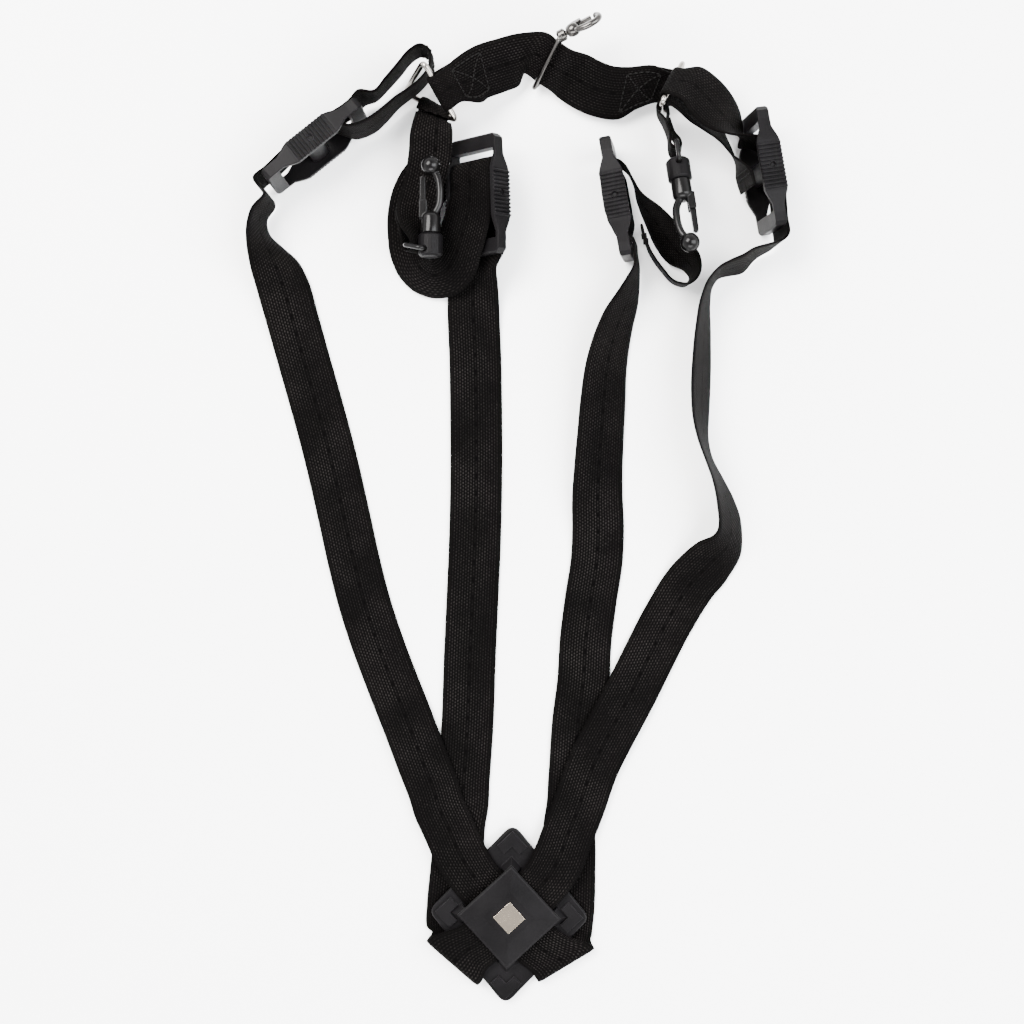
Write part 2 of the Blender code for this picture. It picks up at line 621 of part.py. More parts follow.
def tabs():
    ring = bar_of(LEFT_RING["low"], LEFT_RING["tab"], 17.0, 2.4)
    bar = bail_bar("left", BAIL_WEB)
    bar = bar if across_of(bar).z < 0 else (bar[1], bar[0])
    strap("left_tab", doubled((ring, bar), [
        rung(-38.6, 185.4, 15.6, -22, 16, 19), rung(-39.6, 177.6, 17.6, -8, 6, TAB_WEB),
        rung(-40.4, 169.4, 15.4, -2, 0, TAB_WEB), rung(-42.0, 161.0, 13.6, 3, -2, TAB_WEB),
        rung(-44.6, 151.5, 13.2, 6, -8, TAB_WEB), rung(-47.2, 142.0, 14.2, 4, -22, TAB_WEB),
        rung(-48.0, 133.0, 17.6, 1, -44, 17)], 0.95))
    ring = bar_of(RIGHT_RING["tab"], RIGHT_RING["low"], 15.5, 1.5)
    bar = bail_bar("right", BAIL_WEB)
    bar = bar if across_of(bar).z < 0 else (bar[1], bar[0])
    strap("right_tab", doubled((ring, bar), [
        rung(70.8, 183.0, 18.2, 10, -88, 18.5), rung(73.0, 177.0, 18.0, 10, -89, 16)], 0.95))


# ---------------------------------------------------------------- hardware

def back_plate():
    frame = add_empty("plate_frame", PLATE, ROOT)
    outline = rounded([(BASE_WIDE, 0), (0, BASE_LONG), (-BASE_WIDE, 0), (0, -BASE_LONG)], 5.0, 4)
    base = add_object("back_base_plate", outline_mesh("base", [outline], BASE_THICK, 0.5), "plastic", frame,
                      (0, 0, BASE_BOTTOM + BASE_THICK / 2))
    for i in range(4):
        reach = PAD_REACH * (BASE_LONG if i % 2 else BASE_WIDE) / BASE_LONG
        boolean(base, as_cutter(corner_pad(i, reach, frame)), "UNION")
        boolean(base, as_cutter(corner_post(i, frame)), "UNION")
        angle = math.radians(90 * i)
        where = (math.cos(angle) * SCREW_PLACE, math.sin(angle) * SCREW_PLACE, 0)
        bore = add_object("screw_bore", screw_mesh("bore", FIT), None, frame, where)
        boolean(base, as_cutter(bore), "DIFFERENCE")
        add_object("cover_screw_%d" % (i + 1), screw_mesh("screw", 0), "nickel", frame, where)
    cover = add_object("back_cover_plate", cover_mesh(), "plastic", frame, (0, 0, COVER_BOTTOM))
    for i in range(4):
        angle = math.radians(90 * i)
        where = (math.cos(angle) * SCREW_PLACE, math.sin(angle) * SCREW_PLACE, 0)
        bore = add_object("cover_bore", screw_mesh("bore", FIT), None, frame, where)
        boolean(cover, as_cutter(bore), "DIFFERENCE")
    pocket = add_object("badge_pocket", cylinder_mesh("pocket", BADGE_HALF + FIT, 2 * BADGE_THICK, sides=4), None,
                        frame, (0, 0, COVER_BOTTOM + COVER_EDGE + COVER_CROWN))
    boolean(cover, as_cutter(pocket), "DIFFERENCE")
    level = COVER_BOTTOM + COVER_EDGE + COVER_CROWN - BADGE_THICK + FIT
    add_object("badge", cylinder_mesh("badge", BADGE_HALF, BADGE_THICK, sides=4), "nickel", frame,
               (0, 0, level + BADGE_THICK / 2))


def corner_pad(index, reach, frame):
    """A raised V along the two edges of a corner."""
    arm = PAD_ARM
    deep = PAD_BAND * math.sqrt(2)
    points = [(reach, 0), (reach - arm, arm), (reach - arm - deep / 2, arm - deep / 2), (reach - deep, 0),
              (reach - arm - deep / 2, deep / 2 - arm), (reach - arm, -arm)]
    angle = math.radians(90 * index)
    height = PAD_TOP - BASE_BOTTOM - 0.6
    turned = Matrix.Rotation(angle, 4, "Z")
    mesh = outline_mesh("pad", [points], height, 0, turned)
    return add_object("corner_pad", mesh, None, frame, (0, 0, PAD_TOP - height / 2))


def corner_post(index, frame):
    """A post that slopes from a wide foot on the base to the cover's corner."""
    foot = [(POST_FOOT, 0), ((POST_FOOT + POST_INNER) / 2, (POST_FOOT - POST_INNER) / 2), (POST_INNER, 0),
            ((POST_FOOT + POST_INNER) / 2, (POST_INNER - POST_FOOT) / 2)]
    top = [(COVER_HALF, 0), ((COVER_HALF + POST_INNER) / 2, (COVER_HALF - POST_INNER) / 2), (POST_INNER, 0),
           ((COVER_HALF + POST_INNER) / 2, (POST_INNER - COVER_HALF) / 2)]
    mesh = bpy.data.meshes.new("post")
    bm = bmesh.new()
    low = [bm.verts.new((x * MM, y * MM, (BASE_BOTTOM + 1.0) * MM)) for x, y in foot]
    high = [bm.verts.new((x * MM, y * MM, (COVER_BOTTOM - FIT) * MM)) for x, y in top]
    bm.faces.new(low[::-1])
    bm.faces.new(high)
    for i in range(4):
        j = (i + 1) % 4
        bm.faces.new((low[i], low[j], high[j], high[i]))
    bmesh.ops.rotate(bm, cent=(0, 0, 0), matrix=Matrix.Rotation(math.radians(90 * index), 3, "Z"), verts=bm.verts)
    bm.to_mesh(mesh)
    bm.free()
    return add_object("corner_post", mesh, None, frame)


def screw_mesh(name, room):
    """A short screw from the underside of the base into the cover; room widens it into its bore."""
    low = BASE_BOTTOM + 0.3
    head = 1.9 + room
    shank = SCREW + room
    tip = COVER_BOTTOM + 1.5
    profile = [(low - room * 4, head), (low + 1.0 + room, head), (low + 1.0 + room, shank), (tip + room, shank)]
    mesh = turned_mesh(name, profile, 12)
    mesh.transform(Matrix.Rotation(math.radians(37), 4, "Z") @ Matrix.Rotation(-math.pi / 2, 4, "Y"))
    return mesh


def cover_mesh():
    """A square cover, slightly crowned, with its corners on the axes."""
    mesh = bpy.data.meshes.new("cover")
    bm = bmesh.new()
    rings = ((COVER_HALF - 1.0, 0.0), (COVER_HALF, 0.6), (COVER_HALF, COVER_EDGE - 0.6),
             (COVER_HALF - 1.2, COVER_EDGE), (COVER_HALF / 2, COVER_EDGE + COVER_CROWN))
    rows = []
    for half, z in rings:
        corners = [(half, 0), (0, half), (-half, 0), (0, -half)]
        rows.append([bm.verts.new((x * MM, y * MM, z * MM)) for x, y in corners])
    for first, second in zip(rows, rows[1:]):
        for i in range(4):
            j = (i + 1) % 4
            bm.faces.new((first[i], first[j], second[j], second[i]))
    bm.faces.new(rows[0][::-1])
    bm.faces.new(rows[-1])
    bm.to_mesh(mesh)
    bm.free()
    return mesh


def comb(half_length, half_width):
    """The adjuster's plan outline, ribbed along the middle of both sides."""
    corner = 2.5
    pitch = GRIP_LENGTH / RIBS
    points = [(half_length, -half_width + corner + 1.5), (half_length, half_width - corner - 1.5),
              (half_length - corner, half_width - 1.5), (half_length - corner - 4, half_width - 1.5)]
    points.append((GRIP_LENGTH / 2 + 1.0, half_width - RIB_DEPTH))
    for i in range(RIBS):
        x = GRIP_LENGTH / 2 - i * pitch
        points += [(x, half_width - RIB_DEPTH), (x - pitch * 0.2, half_width),
                   (x - pitch * 0.55, half_width), (x - pitch * 0.75, half_width - RIB_DEPTH)]
    points.append((-GRIP_LENGTH / 2 - 1.0, half_width - RIB_DEPTH))
    points += [(corner + 4 - half_length, half_width - 1.5), (corner - half_length, half_width - 1.5),
               (-half_length, half_width - corner - 1.5)]
    lower = [(-x, -y) for x, y in points[2:-1]]
    return points + [(-half_length, -half_width + corner + 1.5)] + lower


def adjuster_meshes():
    half = ADJUSTER_LENGTH / 2
    end = END_THICK / 2
    grip = GRIP_THICK / 2
    reach = GRIP_LENGTH / 2
    side = [(half, -end + 0.8), (half, end - 0.8), (half - 0.8, end), (reach + 7, end), (reach + 2, grip - 0.6),
            (reach, grip), (-reach, grip), (-reach - 2, grip - 0.6), (-reach - 7, end), (0.8 - half, end),
            (-half, end - 0.8), (-half, 0.8 - end), (0.8 - half, -end), (-reach - 7, -end),
            (-reach - 2, 0.6 - grip), (-reach, -grip), (reach, -grip), (reach + 2, 0.6 - grip),
            (reach + 7, -end), (half - 0.8, -end)]
    upright = Matrix.Rotation(math.pi / 2, 4, "X")
    profile = outline_mesh("adjuster_profile", [side], ADJUSTER_WIDTH + 4, 0, upright)
    window = rounded([(WINDOW_LENGTH / 2, -WINDOW_WIDTH / 2), (WINDOW_LENGTH / 2, WINDOW_WIDTH / 2),
                      (-WINDOW_LENGTH / 2, WINDOW_WIDTH / 2), (-WINDOW_LENGTH / 2, -WINDOW_WIDTH / 2)], 0.4, 1)
    plan = outline_mesh("adjuster_plan", [comb(half + 0.4, ADJUSTER_WIDTH / 2), window], GRIP_THICK + 4)
    bore = cylinder_mesh("cam_bore", CAM_PIN + FIT, ADJUSTER_WIDTH + 4, "Y", 12)
    oval = []
    for i in range(16):
        angle = 2 * math.pi * i / 16
        oval.append((CAM_LENGTH / 2 * math.cos(angle), CAM_THICK / 2 * math.sin(angle)))
    cam = outline_mesh("cam", [oval], WINDOW_WIDTH - 0.8, 0, upright)
    pin = cylinder_mesh("cam_pin", CAM_PIN, ADJUSTER_WIDTH - 2 * RIB_DEPTH - 0.6, "Y", 12)
    return profile, plan, bore, cam, pin


def adjusters():
    profile, plan, bore, cam_shape, pin_shape = adjuster_meshes()
    for name, place in ADJUSTERS.items():
        frame = add_empty(name + "_adjuster_frame", place, ROOT)
        body = add_object(name + "_adjuster", plan.copy(), "plastic", frame)
        shape = as_cutter(add_object(name + "_profile", profile.copy(), None, frame))
        hole = as_cutter(add_object(name + "_bore", bore.copy(), None, frame))
        boolean(body, shape, "INTERSECT")
        boolean(body, hole, "DIFFERENCE")
        cam = add_object(name + "_cam", cam_shape.copy(), "plastic", frame)
        boolean(cam, hole, "DIFFERENCE")
        add_object(name + "_cam_pin", pin_shape.copy(), "plastic", frame)


def rings():
    for name, corners in (("left_ring", LEFT_RING), ("right_ring", RIGHT_RING)):
        points = [Vector(corners[key]) for key in ("front", "low", "tab")]
        mesh = tube_mesh(name, rounded(points, RING_BEND, 4), RING_WIRE, True, 3)
        smooth(add_object(name, mesh, "nickel"), 60)


def snap_hooks():
    for side, place in HOOKS.items():
        frame = add_empty(side + "_hook_frame", place, ROOT)
        cap = add_object(side + "_hook_cap", turned_mesh("cap", [
            (0, 3.6), (0.4, 4.8), (1.4, HOOK_CAP_RADIUS), (HOOK_CAP - 0.8, HOOK_CAP_RADIUS),
            (HOOK_CAP, HOOK_CAP_RADIUS - 0.8)], 20), "plastic", frame)
        pivot = cylinder_mesh("bail_bore", BAIL_WIRE + FIT, 2 * HOOK_CAP_RADIUS + 2, "Y", 10,
                              centre=(BAIL_PIVOT, 0, 0))
        boolean(cap, as_cutter(add_object("bail_bore", pivot, None, frame)), "DIFFERENCE")
        socket = cylinder_mesh("swivel_bore", SWIVEL_PIN + FIT, 8, "X", 16, centre=(HOOK_CAP - 1.2, 0, 0))
        boolean(cap, as_cutter(add_object("swivel_bore", socket, None, frame)), "DIFFERENCE")
        smooth(cap)
        bail(side, place, frame)
        body = add_empty(side + "_hook_body_frame", dict(centre=(0, 0, 0), heading=0, pitch=0, roll=place["face"]),
                         frame)
        hook_body(side, body)


def bail(side, place, frame):
    """A closed wire link from the cap to the webbing bar."""
    swing = math.radians(place["swing"])
    reach = Vector((-math.cos(swing), 0, -math.sin(swing))) * BAIL_LENGTH
    pivot = Vector((BAIL_PIVOT, 0, 0))
    across = Vector((0, BAIL_HALF, 0))
    corners = [pivot + across, pivot + reach + across, pivot + reach - across, pivot - across]
    mesh = tube_mesh(side + "_bail", rounded(corners, 2.2, 3), BAIL_WIRE, True, 2)
    smooth(add_object(side + "_bail", mesh, "gloss_plastic", frame), 60)


def hook_body(side, frame):
    start = HOOK_CAP + FIT
    sleeve = turned_mesh("sleeve", [(6.0, SWIVEL_PIN), (start, SWIVEL_PIN), (start, HOOK_SLEEVE_RADIUS),
                                    (HOOK_SLEEVE_END - 2, HOOK_SLEEVE_RADIUS), (HOOK_SLEEVE_END, 2.6)], 20)
    body = add_object(side + "_hook_body", sleeve, "gloss_plastic", frame)
    arm = [(19.5, -0.8, 0), (22.0, -2.6, 0), (25.0, -3.9, 0), (29.0, -4.3, 0), (33.0, -4.2, 0),
           (37.0, -3.4, 0), (40.5, -1.6, 0), (43.0, -0.6, 0)]
    boolean(body, as_cutter(add_object("arm", tube_mesh("arm", arm, HOOK_ARM), None, frame)), "UNION")
    nose = []
    for i in range(9):
        angle = math.pi * (0.06 + 0.88 * i / 8)
        nose.append((HOOK_NOSE - HOOK_NOSE_RADIUS * math.cos(angle), HOOK_NOSE_RADIUS * math.sin(angle)))
    boolean(body, as_cutter(add_object("nose", turned_mesh("nose", nose, 20), None, frame)), "UNION")
    x, y = GATE_PIVOT
    for z in (-2.2, 2.2):
        lug = box_mesh("lug", (8.4, 3.6, 1.2), (x - 1.8, y - 0.1, z))
        boolean(body, as_cutter(add_object("lug", lug, None, frame)), "UNION")
    hole = cylinder_mesh("gate_bore", GATE_PIN + 0.2, 8, "Z", 10, centre=(x, y, 0))
    bore = as_cutter(add_object("gate_bore", hole, None, frame))
    boolean(body, bore, "DIFFERENCE")
    smooth(body)
    pivot = bpy.data.objects.new(side + "_gate_frame", None)
    PARTS.objects.link(pivot)
    pivot.parent = frame
    pivot.location = (x * MM, y * MM, 0)
    outline = arc((0, 0), 1.6, 90, 270, 6) + [(4, -1.3), (GATE_END - x - 0.8, -1.2), (GATE_END - x, -0.4),
                                              (GATE_END - x, 0.6), (GATE_END - x - 0.8, 1.3), (4, 1.5)]
    gate = add_object(side + "_hook_gate", outline_mesh("gate", [outline], 2.6, 0.3), "gloss_plastic", pivot)
    gate_hole = add_object("gate_hole", cylinder_mesh("hole", GATE_PIN + 0.2, 8, "Z", 10), None, pivot)
    boolean(gate, as_cutter(gate_hole), "DIFFERENCE")
    smooth(gate)
    add_object(side + "_hook_gate_pin", cylinder_mesh("gate_pin", GATE_PIN, 5.4, "Z", 10), "nickel", pivot)


def metal_hook():
    frame = add_empty("slider_frame", SLIDER, ROOT)
    low, high = SLIDER_ENDS
    short = SLIDER_SHORT / 2
    corners = [Vector((0, high, short)), Vector((0, high, -short)), Vector((0, low, -short)),
               Vector((0, low, short))]
    wire = tube_mesh("slider", rounded(corners, 1.6, 3), SLIDER_WIRE, True, 3)
    slider = add_object("slider_loop", wire, "nickel", frame)
    hook = add_empty("clip_frame", CLIP, ROOT)
    boss = turned_mesh("boss", [(-2.2, 2.0), (-1.4, CLIP_BOSS), (1.4, CLIP_BOSS), (2.2, 2.0)], 16)
    boolean(slider, as_cutter(add_object("boss", boss, None, hook)), "UNION")
    bore = cylinder_mesh("stud_bore", CLIP_STUD + FIT, 12, "X", 12)
    boolean(slider, as_cutter(add_object("stud_bore", bore, None, hook)), "DIFFERENCE")
    smooth(slider, 50)
    stud = turned_mesh("stud", [(-1.8, CLIP_STUD), (2.6, CLIP_STUD), (2.9, 2.2), (4.4, 3.0), (6.4, 3.2),
                                (8.0, 2.6), (8.8, 1.6)], 16)
    body = add_object("clip_hook", stud, "nickel", hook)
    arm = [(6.5, -0.6, 0), (8.6, -2.6, 0), (11.5, -3.9, 0), (14.5, -4.1, 0), (17.2, -3.2, 0), (18.9, -1.2, 0),
           (18.9, 1.2, 0), (17.8, 2.7, 0)]
    boolean(body, as_cutter(add_object("clip_arm", tube_mesh("clip_arm", arm, CLIP_WIRE), None, hook)), "UNION")
    for z in (-1.9, 1.9):
        lug = box_mesh("clip_lug", (5.2, 2.8, 1.0), (8.4, 2.0, z))
        boolean(body, as_cutter(add_object("clip_lug", lug, None, hook)), "UNION")
    pivot = bpy.data.objects.new("clip_gate_frame", None)
    PARTS.objects.link(pivot)
    pivot.parent = hook
    pivot.location = (9.8 * MM, 2.4 * MM, 0)
    hole = cylinder_mesh("clip_bore", GATE_PIN + 0.2, 8, "Z", 10, centre=(9.8, 2.4, 0))
    boolean(body, as_cutter(add_object("clip_bore", hole, None, hook)), "DIFFERENCE")
    smooth(body, 50)
    outline = arc((0, 0), 1.2, 150, 270, 4) + [(2.0, -0.9), (6.0, -0.6), (6.0, 0.9), (1.6, 1.1), (-1.0, 3.6),
                                               (-2.2, 3.4)]
    gate = add_object("clip_lever", outline_mesh("lever", [outline], 2.2, 0.2), "nickel", pivot)
    gate_hole = add_object("clip_hole", cylinder_mesh("hole", GATE_PIN + 0.2, 8, "Z", 10), None, pivot)
    boolean(gate, as_cutter(gate_hole), "DIFFERENCE")
    add_object("clip_lever_pin", cylinder_mesh("lever_pin", GATE_PIN, 4.6, "Z", 10), "nickel", pivot)


crossing_straps()
left_shoulder_strap()
right_shoulder_strap()
left_underarm_strap()
right_underarm_strap()
left_underarm_loop()
right_underarm_loop()
left_front_loop()
right_front_loop()
cross_strap()
tabs()
back_plate()
adjusters()
rings()
snap_hooks()
metal_hook()
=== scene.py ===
"""Looks for a crossing-strap body harness: woven webbing, stitching, moulded plastic and nickel."""
import math
import random

import bmesh
import bpy
from mathutils import Matrix, Vector, noise


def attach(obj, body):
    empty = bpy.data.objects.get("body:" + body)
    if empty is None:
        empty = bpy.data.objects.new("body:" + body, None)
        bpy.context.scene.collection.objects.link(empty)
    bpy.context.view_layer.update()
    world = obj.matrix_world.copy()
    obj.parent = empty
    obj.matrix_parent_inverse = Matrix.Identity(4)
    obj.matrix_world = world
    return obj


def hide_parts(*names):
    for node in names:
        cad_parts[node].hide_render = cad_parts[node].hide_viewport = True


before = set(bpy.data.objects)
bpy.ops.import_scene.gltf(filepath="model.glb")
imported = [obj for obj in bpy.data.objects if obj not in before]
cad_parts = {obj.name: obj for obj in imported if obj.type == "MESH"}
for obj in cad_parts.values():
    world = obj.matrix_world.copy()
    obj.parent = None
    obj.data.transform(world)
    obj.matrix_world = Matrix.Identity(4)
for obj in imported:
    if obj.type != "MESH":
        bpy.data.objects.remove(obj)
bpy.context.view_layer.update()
random.seed(7)

# sizes and places in millimetres, as in the part
MM = 0.001
FIT = 0.3
CENTRE_SHIFT = (-0.53, 0.72)
WEB = 25.0
TAB_WEB = 20.0
WEB_THICK = 1.2
ON_FLOOR = WEB_THICK / 2 + 0.15
BASE_TOP = 4.4
LOWER_CROSSING = BASE_TOP + 0.4 + WEB_THICK / 2
UPPER_CROSSING = LOWER_CROSSING + WEB_THICK + 0.4
UNDER = -5.3
BAR_LEVEL = 3.8
ADJUSTERS = {
    "left_shoulder": dict(centre=(-94.0, 172.0, 16.7), heading=38.5, pitch=0, roll=-86),
    "right_shoulder": dict(centre=(116.5, 160.1, 16.7), heading=-80.2, pitch=0, roll=-82),
    "left_underarm": dict(centre=(-17.9, 148.6, 15.2), heading=92.0, pitch=0, roll=42),
    "right_underarm": dict(centre=(47.8, 146.9, 16.7), heading=100.3, pitch=0, roll=-82),
}
RING_WIRE = 1.3
RING_BEND = 2.5
LEFT_RING = {"front": (-42.5, 207.5, 33.0), "low": (-52.9, 201.2, 2.8), "tab": (-27.5, 183.6, 17.0)}
RIGHT_RING = {"front": (79.0, 212.0, 18.5), "low": (70.3, 190.2, 2.2), "tab": (67.5, 189.0, 33.0)}
WRAP = RING_WIRE + FIT + WEB_THICK / 2 + 0.1
BAIL_PIVOT = 3.5
BAIL_LENGTH = 9.5
BAIL_HALF = 8.6
BAIL_WIRE = 1.1
BAIL_WEB = 13.0
HOOKS = {
    "left": dict(centre=(-39.6, 118.5, 25.0), heading=90.0, pitch=0, roll=-60, swing=103, face=60),
    "right": dict(centre=(75.8, 165.2, 19.4), heading=-83.5, pitch=17, roll=90, swing=0, face=-90),
}
SLIDER = dict(centre=(15.4, 212.4, 14.2), heading=-33.0, pitch=0, roll=-46)
SLIDER_ENDS = (-14.3, 16.2)    # beyond the right and left edges of the strap
CLIP = dict(centre=(21.5, 221.8, 25.6), heading=26.0, pitch=8, roll=55)
HOOK_CAP = 11.0
HOOK_SLEEVE_RADIUS = 4.7
HOOK_SLEEVE_END = 21.3
HOOK_NOSE = 42.9
HOOK_NOSE_RADIUS = 4.6
HOOK_ARM = 1.8
SWIVEL_PIN = 2.0
GATE_PIVOT = (24.2, 3.6)

# webbing look
ROW_STEP = 1.3                 # spacing of the cross lines
COLUMNS = 12
YARN = 1.25                    # width of one warp yarn
FLOAT = 1.6                    # length of one warp float
TICK = 8.3                     # spacing of the binder marks on the centre line
THREAD = 0.36                  # stitch thread radius
TAB_BOX_START = 0.13           # fraction of the left tab's length
TAB_BOX_LENGTH = 17.0
CROSS_BOX_NEAR = 30.0          # boxes, as distances from each end of the cross strap
CROSS_BOX_FAR = 46.0
FRONT_BOX_NEAR = 62.0          # box, as distances along the left front loop
FRONT_BOX_FAR = 76.0
FRONT_HEM = 8.0                # hems, as distances back from a loop's end
UNDERARM_HEM = 7.0
SHIFT = Vector((CENTRE_SHIFT[0], CENTRE_SHIFT[1], 0))

# room, in metres and watts
FLOOR_HALF = 2.5
FLOOR_DROP = 0.0002
SKY_STRENGTH = 4.2
KEY_WATTS = 120.0
FILL_WATTS = 68.0
RIM_WATTS = 40.0
LENS = 58.5
CAMERA_PLACE = (-0.00223, 0.00072, 0.8)


# ---------------------------------------------------------------- frames and outlines

def turn(place):
    """Rotation of a frame: x along the heading, pitched up, then rolled with its right side up."""
    heading = Matrix.Rotation(math.radians(place["heading"]), 4, "Z")
    pitch = Matrix.Rotation(math.radians(-place["pitch"]), 4, "Y")
    roll = Matrix.Rotation(math.radians(-place["roll"]), 4, "X")
    return heading @ pitch @ roll


def arc(centre, radius, start, end, count):
    """Points on an arc, angles in degrees."""
    points = []
    for i in range(count + 1):
        angle = math.radians(start + (end - start) * i / count)
        points.append((centre[0] + radius * math.cos(angle), centre[1] + radius * math.sin(angle)))
    return points


def rounded(corners, radius, count=3):
    """A closed outline through the corners, each rounded with an arc."""
    points = []
    total = len(corners)
    for i in range(total):
        here = Vector(corners[i])
        before = (Vector(corners[i - 1]) - here).normalized()
        after = (Vector(corners[(i + 1) % total]) - here).normalized()
        half = before.angle(after) / 2
        start = here + before * radius / math.tan(half)
        end = here + after * radius / math.tan(half)
        for step in range(count + 1):
            t = step / count
            points.append(tuple(start * (1 - t) ** 2 + here * 2 * t * (1 - t) + end * t ** 2))
    return points


def rung(x, y, z, side, lift=0.0, width=WEB):
    """One cross line of a strap: its middle, the plan angle of its right edge and that edge's lift."""
    angle = math.radians(side)
    rise = math.radians(lift)
    across = Vector((math.cos(rise) * math.cos(angle), math.cos(rise) * math.sin(angle), math.sin(rise)))
    middle = Vector((x, y, z))
    return middle - across * width / 2, middle + across * width / 2


def standing(x, y, side, lift, width=WEB):
    """A cross line whose lower edge rests on the floor."""
    z = ON_FLOOR + 0.25 + width / 2 * abs(math.sin(math.radians(lift)))
    return rung(x, y, z, side, lift, width)


def seat(place, x, z, width=WEB):
    """A cross line across a part's own frame."""
    matrix = turn(place)
    middle = Vector(place["centre"]) + matrix @ Vector((x, 0, z))
    across = matrix @ Vector((0, -1, 0))
    return middle - across * width / 2, middle + across * width / 2


def middle_of(pair):
    return (pair[0] + pair[1]) / 2


def across_of(pair):
    return (pair[1] - pair[0]).normalized()


def shifted(pair, offset):
    return pair[0] + offset, pair[1] + offset


def bend(middle, across, outward, upward, radius, start, end, count, width):
    """Cross lines on an arc about the line through middle; angle 0 is outward, 90 is upward."""
    rungs = []
    for i in range(count + 1):
        angle = math.radians(start + (end - start) * i / count)
        centre = middle + (outward * math.cos(angle) + upward * math.sin(angle)) * radius
        rungs.append((centre - across * width / 2, centre + across * width / 2))
    return rungs


def square_to(direction, across):
    return (direction - across * direction.dot(across)).normalized()


def bar_of(left_end, right_end, width, shift=0.0):
    """A cross line on a ring's bar, left end first, shifted along the bar from its middle."""
    left_end = Vector(left_end)
    right_end = Vector(right_end)
    across = (right_end - left_end).normalized()
    middle = (left_end + right_end) / 2 + across * shift
    return middle - across * width / 2, middle + across * width / 2


def folded(x, y, side, toward, top, bottom, width):
    """A strap turned under itself along a line on the floor; toward is the plan angle of the fold."""
    across = Vector((math.cos(math.radians(side)), math.sin(math.radians(side)), 0))
    outward = square_to(Vector((math.cos(math.radians(toward)), math.sin(math.radians(toward)), 0)), across)
    bottom = bottom + 0.3
    middle = Vector((x, y, (top + bottom) / 2))
    return bend(middle, across, outward, Vector((0, 0, 1)), (top - bottom) / 2, 90, -90, 6, width)


def doubled(bars, between, apart, flip=1):
    """Cross lines of a strap sewn into a long flat loop round two bars."""
    line = [bars[0], *between, bars[1]]
    normals = []
    for i, pair in enumerate(line):
        ahead = middle_of(line[min(i + 1, len(line) - 1)]) - middle_of(line[max(i - 1, 0)])
        normals.append(ahead.cross(across_of(pair)).normalized() * -flip)
    above = [shifted(p, n * apart) for p, n in zip(line, normals)][1:-1]
    below = [shifted(p, -n * apart) for p, n in zip(line, normals)][1:-1][::-1]
    turns = []
    for here, there, normal, order in ((0, 1, normals[0], (-90, 90)), (-1, -2, normals[-1], (90, -90))):
        across = across_of(line[here])
        away = square_to(middle_of(line[here]) - middle_of(line[there]), across)
        up = square_to(normal, away)
        width = (line[here][1] - line[here][0]).length
        turns.append(bend(middle_of(line[here]), across, away, up, WRAP, *order, 6, width))
    ends = middle_of(below[-1])
    first = shifted(below[-1], (middle_of(turns[0][0]) - ends) * 0.3)
    return [first, *turns[0], *above, *turns[1], *below]


# ---------------------------------------------------------------- fine webbing

RIBBONS = {}
ROUTES = {}
COLLECTION = bpy.data.collections.new("looks")
bpy.context.scene.collection.children.link(COLLECTION)


def spread(rungs):
    """Cross lines at an even spacing along a smooth curve through both strap edges."""
    gaps = [(middle_of(b) - middle_of(a)).length for a, b in zip(rungs, rungs[1:])]
    slopes = [[(e - s) / gap for s, e in zip(a, b)] for a, b, gap in zip(rungs, rungs[1:], gaps)]
    tangents = [slopes[0]]
    for i in range(1, len(rungs) - 1):
        before, after = gaps[i - 1], gaps[i]
        tangents.append([(s * after + e * before) / (before + after)
                         for s, e in zip(slopes[i - 1], slopes[i])])
    tangents.append(slopes[-1])
    fine = []
    for i, gap in enumerate(gaps):
        steps = max(2, round(gap / ROW_STEP))
        for step in range(steps):
            t = step / steps
            pair = []
            for edge in (0, 1):
                start = (rungs[i][edge] * (2 * t ** 3 - 3 * t * t + 1)
                         + rungs[i + 1][edge] * (3 * t * t - 2 * t ** 3))
                lean = tangents[i][edge] * (t ** 3 - 2 * t * t + t) + tangents[i + 1][edge] * (t ** 3 - t * t)
                pair.append(start + lean * gap)
            fine.append(tuple(pair))
    fine.append(rungs[-1])
    return fine


def row_normals(rows):
    """A normal at each point of the rows, kept to one side and evened along the strap."""
    last = len(rows) - 1
    normals = []
    for i, row in enumerate(rows):
        ahead = rows[min(i + 1, last)]
        behind = rows[max(i - 1, 0)]
        across = (row[-1] - row[0]).normalized()
        centre = across.cross(ahead[COLUMNS // 2] - behind[COLUMNS // 2]).normalized()
        line = []
        for j in range(len(row)):
            normal = across.cross(ahead[j] - behind[j])
            normal = normal.normalized() if normal.length > 1e-6 else centre
            line.append(normal if normal.dot(centre) > 0.2 else centre)
        normals.append(line)
    for _ in range(2):
        evened = []
        for i, line in enumerate(normals):
            before, after = normals[max(i - 1, 0)], normals[min(i + 1, last)]
            evened.append([(a + b * 2 + c).normalized() for a, b, c in zip(before, line, after)])
        normals = evened
    return normals


def thickness_at(fraction):
    """Half the webbing's thickness at a fraction of its width; the woven edges are rounded off."""
    edge = min(fraction, 1 - fraction) * 2
    return WEB_THICK / 2 * min(1.0, 0.45 + 0.55 * math.sin(min(1.0, edge * 7) * math.pi / 2))


def strap(name, rungs, steps=2):
    """Keeps a strap's cross lines until it is woven."""
    ROUTES[name] = rungs


def reversed_strap(rungs):
    return [(b, a) for a, b in reversed(rungs)]


def swapped(rungs):
    return [(b, a) for a, b in rungs]


